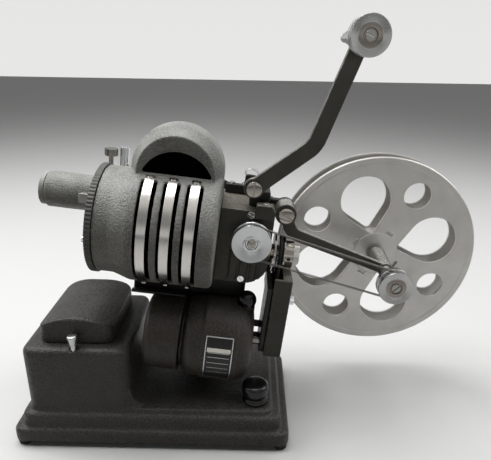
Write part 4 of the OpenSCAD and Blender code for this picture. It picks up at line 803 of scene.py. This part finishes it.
# %% Push button
button = [(0, -6.9), (2.4, -6.9), (2.4, 3.0), (3.1, 3.15), (3.25, 3.6), (3.5, 6.0), (3.9, 8.4), (4.1, 9.2)]
button += bow((2.9, 9.9), 1.2, 0, 80, 6) + [(1.6, 11.25), (0, 11.3)]
BUTTON_AT = Matrix.Translation(Vector((-57.8, -43.5, 86.5)) * MM)
push_button = turned("push_button", button, satin_plate, BUTTON_AT, 64, 50)
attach(push_button, "power_switch")
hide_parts("power_button")
print("push button faces", len(push_button.data.polygons))

# %% Brush caps
CAP_X, CAP_SEAT, CAP_TURN = 81.5, 32.1, 176
ball = [(0, 0.02), (7.0, 0.02), (7.1, 0.9), (6.8, 1.3)]
ball += bow((0, 4.3), 7.8, -22, 88, 20) + [(0, 12.1), (0, 0.02)]
stud = [(0, 0.02), (6.0, 0.02), (6.1, 0.6), (5.9, 2.6), (5.2, 3.4), (4.6, 3.6), (0, 3.6), (0, 0.02)]
motor_axis = on_head(0, MOTOR_Y, MOTOR_W, ALONG)
for name, outline, turn in (("brush_ball", ball, CAP_TURN), ("brush_stud", stud, CAP_TURN + 180)):
    seat = motor_axis @ Matrix.Rotation(radians(turn), 4, "Z")
    seat = seat @ Matrix.Translation((CAP_SEAT * MM, 0, CAP_X * MM)) @ Matrix.Rotation(pi / 2, 4, "Y")
    cap = turned(name, outline, phenolic, seat, 64, 40)
    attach(cap, "head")
    if name == "brush_ball":
        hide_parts("brush_caps")
    print(name, "faces", len(cap.data.polygons))

# %% [markdown]
# The two sheets of the reel end in a rolled bead. It is the brightest line of the picture, because the
# film and the hands keep it polished.

# %% Reel beads
bead_metal = metal("polished_bead", (0.74, 0.73, 0.70), 0.36, depth=0.004, grime=0.2)
bead = [(85.3, 0.3), (85.5, -0.1), (86.6, -0.42), (88.0, -0.42), (88.75, -0.05), (88.95, 0.4)]
bead += [(88.95, 1.0), (85.3, 0.3)]
for name, y, side in (("near_bead", 50.0, 1), ("far_bead", 68.8, -1)):
    ring = [(r, y + side * h) for r, h in bead]
    piece = turned(name, ring, bead_metal, on_head(REEL_U, 0, REEL_W, ACROSS), 180, 50)
    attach(piece, "takeup")
    print(name, "faces", len(piece.data.polygons))

# %% [markdown]
# ## Spring belt
# The take-up belt is a long steel spring, wound so closely that the turns almost touch. Its middle line
# runs as two straight stretches and two arcs round the pulleys. The coil is laid along that line point by
# point, and the bevel of a curve gives the wire its thickness.

# %% Path of the belt
drive_at, wind_at = Vector(CROSS), Vector(WIND)
DRIVE_R, WIND_R = 13.1, 11.3
span = wind_at - drive_at
lean = atan2(span.y, span.x)
open_turn = acos((DRIVE_R - WIND_R) / span.length)


def round_pulley(centre, radius, start, end, count):
    turns = [start + (end - start) * i / count for i in range(count + 1)]
    return [centre + radius * Vector((cos(t), sin(t))) for t in turns]


def line(first, last, count):
    return [first.lerp(last, i / count) for i in range(1, count)]


left_arc = round_pulley(drive_at, DRIVE_R, lean + open_turn, lean + 2 * pi - open_turn, 40)
right_arc = round_pulley(wind_at, WIND_R, lean - open_turn, lean + open_turn, 40)
route = left_arc + line(left_arc[-1], right_arc[0], 60) + right_arc + line(right_arc[-1], left_arc[0], 60)
route.append(route[0])
reach = [0.0]
for first, last in zip(route, route[1:]):
    reach.append(reach[-1] + (last - first).length)
print("belt length in mm", round(reach[-1], 1))

# %% Coil and wire
PITCH, COIL_R, WIRE_R, PER_TURN = 0.66, 0.80, 0.23, 9
turns = round(reach[-1] / PITCH)
coil, stretch = [], 0
for i in range(turns * PER_TURN):
    along = reach[-1] * i / (turns * PER_TURN)
    while reach[stretch + 1] < along:
        stretch += 1
    first, last = route[stretch], route[stretch + 1]
    way = (last - first).normalized()
    at = first + way * (along - reach[stretch])
    a = 2 * pi * i / PER_TURN
    out = at + Vector((-way.y, way.x)) * COIL_R * cos(a)
    coil.append(HEAD @ (Vector((out.x, BELT_Y + COIL_R * sin(a), out.y)) * MM))
wire = bpy.data.curves.new("spring_belt", "CURVE")
wire.dimensions = "3D"
wire.bevel_depth = WIRE_R * MM
wire.bevel_resolution = 0
strand = wire.splines.new("POLY")
strand.points.add(len(coil) - 1)
strand.points.foreach_set("co", [c for p in coil for c in (*p, 1)])
strand.use_cyclic_u = True
belt = bpy.data.objects.new("spring_belt", wire)
bpy.context.scene.collection.objects.link(belt)
alone(belt)
bpy.ops.object.convert(target="MESH")
belt = bpy.context.object
bpy.ops.object.shade_smooth()
spring = metal("spring_wire", (0.24, 0.23, 0.21), 0.30, depth=0.003, grime=0.4)
belt.data.materials.clear()
belt.data.materials.append(spring)
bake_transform(belt)
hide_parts("drive_belt")
print("belt turns", turns, "faces", len(belt.data.polygons))

# %% [markdown]
# ## Nameplate
# The motor carries a rectangular plate: black enamel with a bright frame, a pale field and fine rules. A
# flat grid is made first, its frame, field and rules are picked by place and lifted a little as etching
# leaves them, and then every point is wrapped round the motor band.

# %% Flat plate
PLATE_X0, PLATE_W, BAND_R = 52.1, 22.4, 34.52
PLATE_LOW, PLATE_HIGH = radians(-34), radians(33)
arc_length = BAND_R * (PLATE_HIGH - PLATE_LOW)
bpy.ops.object.select_all(action="DESELECT")
bpy.ops.mesh.primitive_grid_add(x_subdivisions=56, y_subdivisions=100, size=1)
plate = bpy.context.object
plate.name = "nameplate_blank"
plate.scale = (PLATE_W * MM, arc_length * MM, 1)
bpy.ops.object.transform_apply(location=False, rotation=False, scale=True)
enamel = moulded("black_enamel", (0.006, 0.006, 0.005), 0.35, 0.0, 0.003)
pale_field = metal("pale_etched_field", (0.62, 0.60, 0.55), 0.45, depth=0.004, grime=0.5)
for material in (enamel, satin_plate, pale_field):
    plate.data.materials.append(material)
half_w, half_h = PLATE_W / 2, arc_length / 2
rules = (7.2, 3.4, -1.6, -6.4, -11.2)
bpy.ops.object.mode_set(mode="EDIT")
bpy.ops.mesh.select_all(action="DESELECT")
bpy.ops.object.mode_set(mode="OBJECT")
for face in plate.data.polygons:
    x, y = face.center.x / MM, face.center.y / MM
    in_x, in_y = half_w - abs(x), half_h - abs(y)
    frame_edge = 0.5 < in_x < 1.3 or 0.5 < in_y < 1.4
    inner = in_x > 1.3 and in_y > 1.4
    field = inner and 7.6 < y < 11.0 and in_x > 1.9
    rule = inner and in_x > 2.6 and any(abs(y - r) < 0.21 for r in rules)
    if frame_edge and in_x > 0.5 and in_y > 0.5:
        face.material_index = 1
    elif field:
        face.material_index = 2
    elif rule:
        face.material_index = 1
    face.select = face.material_index > 0
print("plate faces", len(plate.data.polygons), "bright", sum(f.select for f in plate.data.polygons))

# %% Lift the bright parts and wrap the plate round the band
bpy.ops.object.mode_set(mode="EDIT")
bpy.ops.mesh.select_mode(type="FACE")
bpy.ops.mesh.extrude_region_move(TRANSFORM_OT_translate={"value": (0, 0, 0.09 * MM)})
bpy.ops.object.mode_set(mode="OBJECT")
body_sheet = plate.modifiers.new("sheet", "SOLIDIFY")
body_sheet.thickness = 0.45 * MM
body_sheet.offset = -1
bpy.ops.object.modifier_apply(modifier="sheet")
for point in plate.data.vertices:
    phi = (PLATE_LOW + PLATE_HIGH) / 2 + point.co.y / (BAND_R * MM)
    out = (BAND_R + 0.47) * MM + point.co.z
    u = (PLATE_X0 + PLATE_W / 2) * MM + point.co.x
    point.co = HEAD @ Vector((u, MOTOR_Y * MM - out * cos(phi), MOTOR_W * MM + out * sin(phi)))
alone(plate)
bpy.ops.object.shade_smooth_by_angle(angle=radians(30))
print("plate arc in mm", round(arc_length, 1))

# %% Two small plate screws, joined to the plate
plate_screws = []
for phi, name in ((PLATE_HIGH - 0.05, "plate_screw_top"), (PLATE_LOW + 0.05, "plate_screw_low")):
    head = [(0, 0), (1.1, 0), (1.1, 0.25), (0.8, 0.5), (0, 0.62), (0, 0)]
    out = BAND_R + 0.45
    seat = Matrix.Rotation(pi / 2 - phi, 4, "X")
    spot = on_head(PLATE_X0 + PLATE_W / 2, MOTOR_Y - out * cos(phi), MOTOR_W + out * sin(phi), seat)
    plate_screws.append(turned(name, head, chrome, spot, 24, 50))
alone(plate)
for screw in plate_screws:
    screw.select_set(True)
bpy.ops.object.join()
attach(plate, "head")
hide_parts("nameplate")
print("nameplate faces", len(plate.data.polygons))

# %% [markdown]
# ## Index plate on the lens tube
# A small bright plate with two engraved marks is fixed to the front of the lens tube, close to the end
# cover. The marks are cut with a Boolean modifier, so they stay sharp from any side.

# %% Index plate
bpy.ops.object.select_all(action="DESELECT")
bpy.ops.mesh.primitive_cube_add(size=1, location=(0, 0, 0), scale=(8.6 * MM, 0.9 * MM, 8.6 * MM))
index_plate = bpy.context.object
index_plate.name = "index_plate"
bpy.ops.object.transform_apply(location=False, rotation=False, scale=True)
bpy.ops.object.mode_set(mode="EDIT")
bpy.ops.mesh.select_all(action="SELECT")
bpy.ops.mesh.bevel(offset=0.35 * MM, segments=2, affect="EDGES")
bpy.ops.object.mode_set(mode="OBJECT")
pale_enamel = moulded("pale_enamel", (0.62, 0.62, 0.59), 0.35, 0.3, 0.01)
index_plate.data.materials.append(pale_enamel)
for shift, width in ((-1.3, 0.55), (1.1, 1.0)):
    size = Vector((width, 0.5, 4.6)) * MM
    bpy.ops.mesh.primitive_cube_add(size=1, location=(shift * MM, -0.45 * MM, 0), scale=size)
    cutter = bpy.context.object
    alone(index_plate)
    cut = index_plate.modifiers.new("mark", "BOOLEAN")
    cut.operation = "DIFFERENCE"
    cut.solver = "EXACT"
    cut.object = cutter
    bpy.ops.object.modifier_apply(modifier="mark")
    bpy.data.objects.remove(cutter)
laid(index_plate, on_head(-68.5, 42.0, -0.5))
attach(index_plate, "head")
print("index plate made")
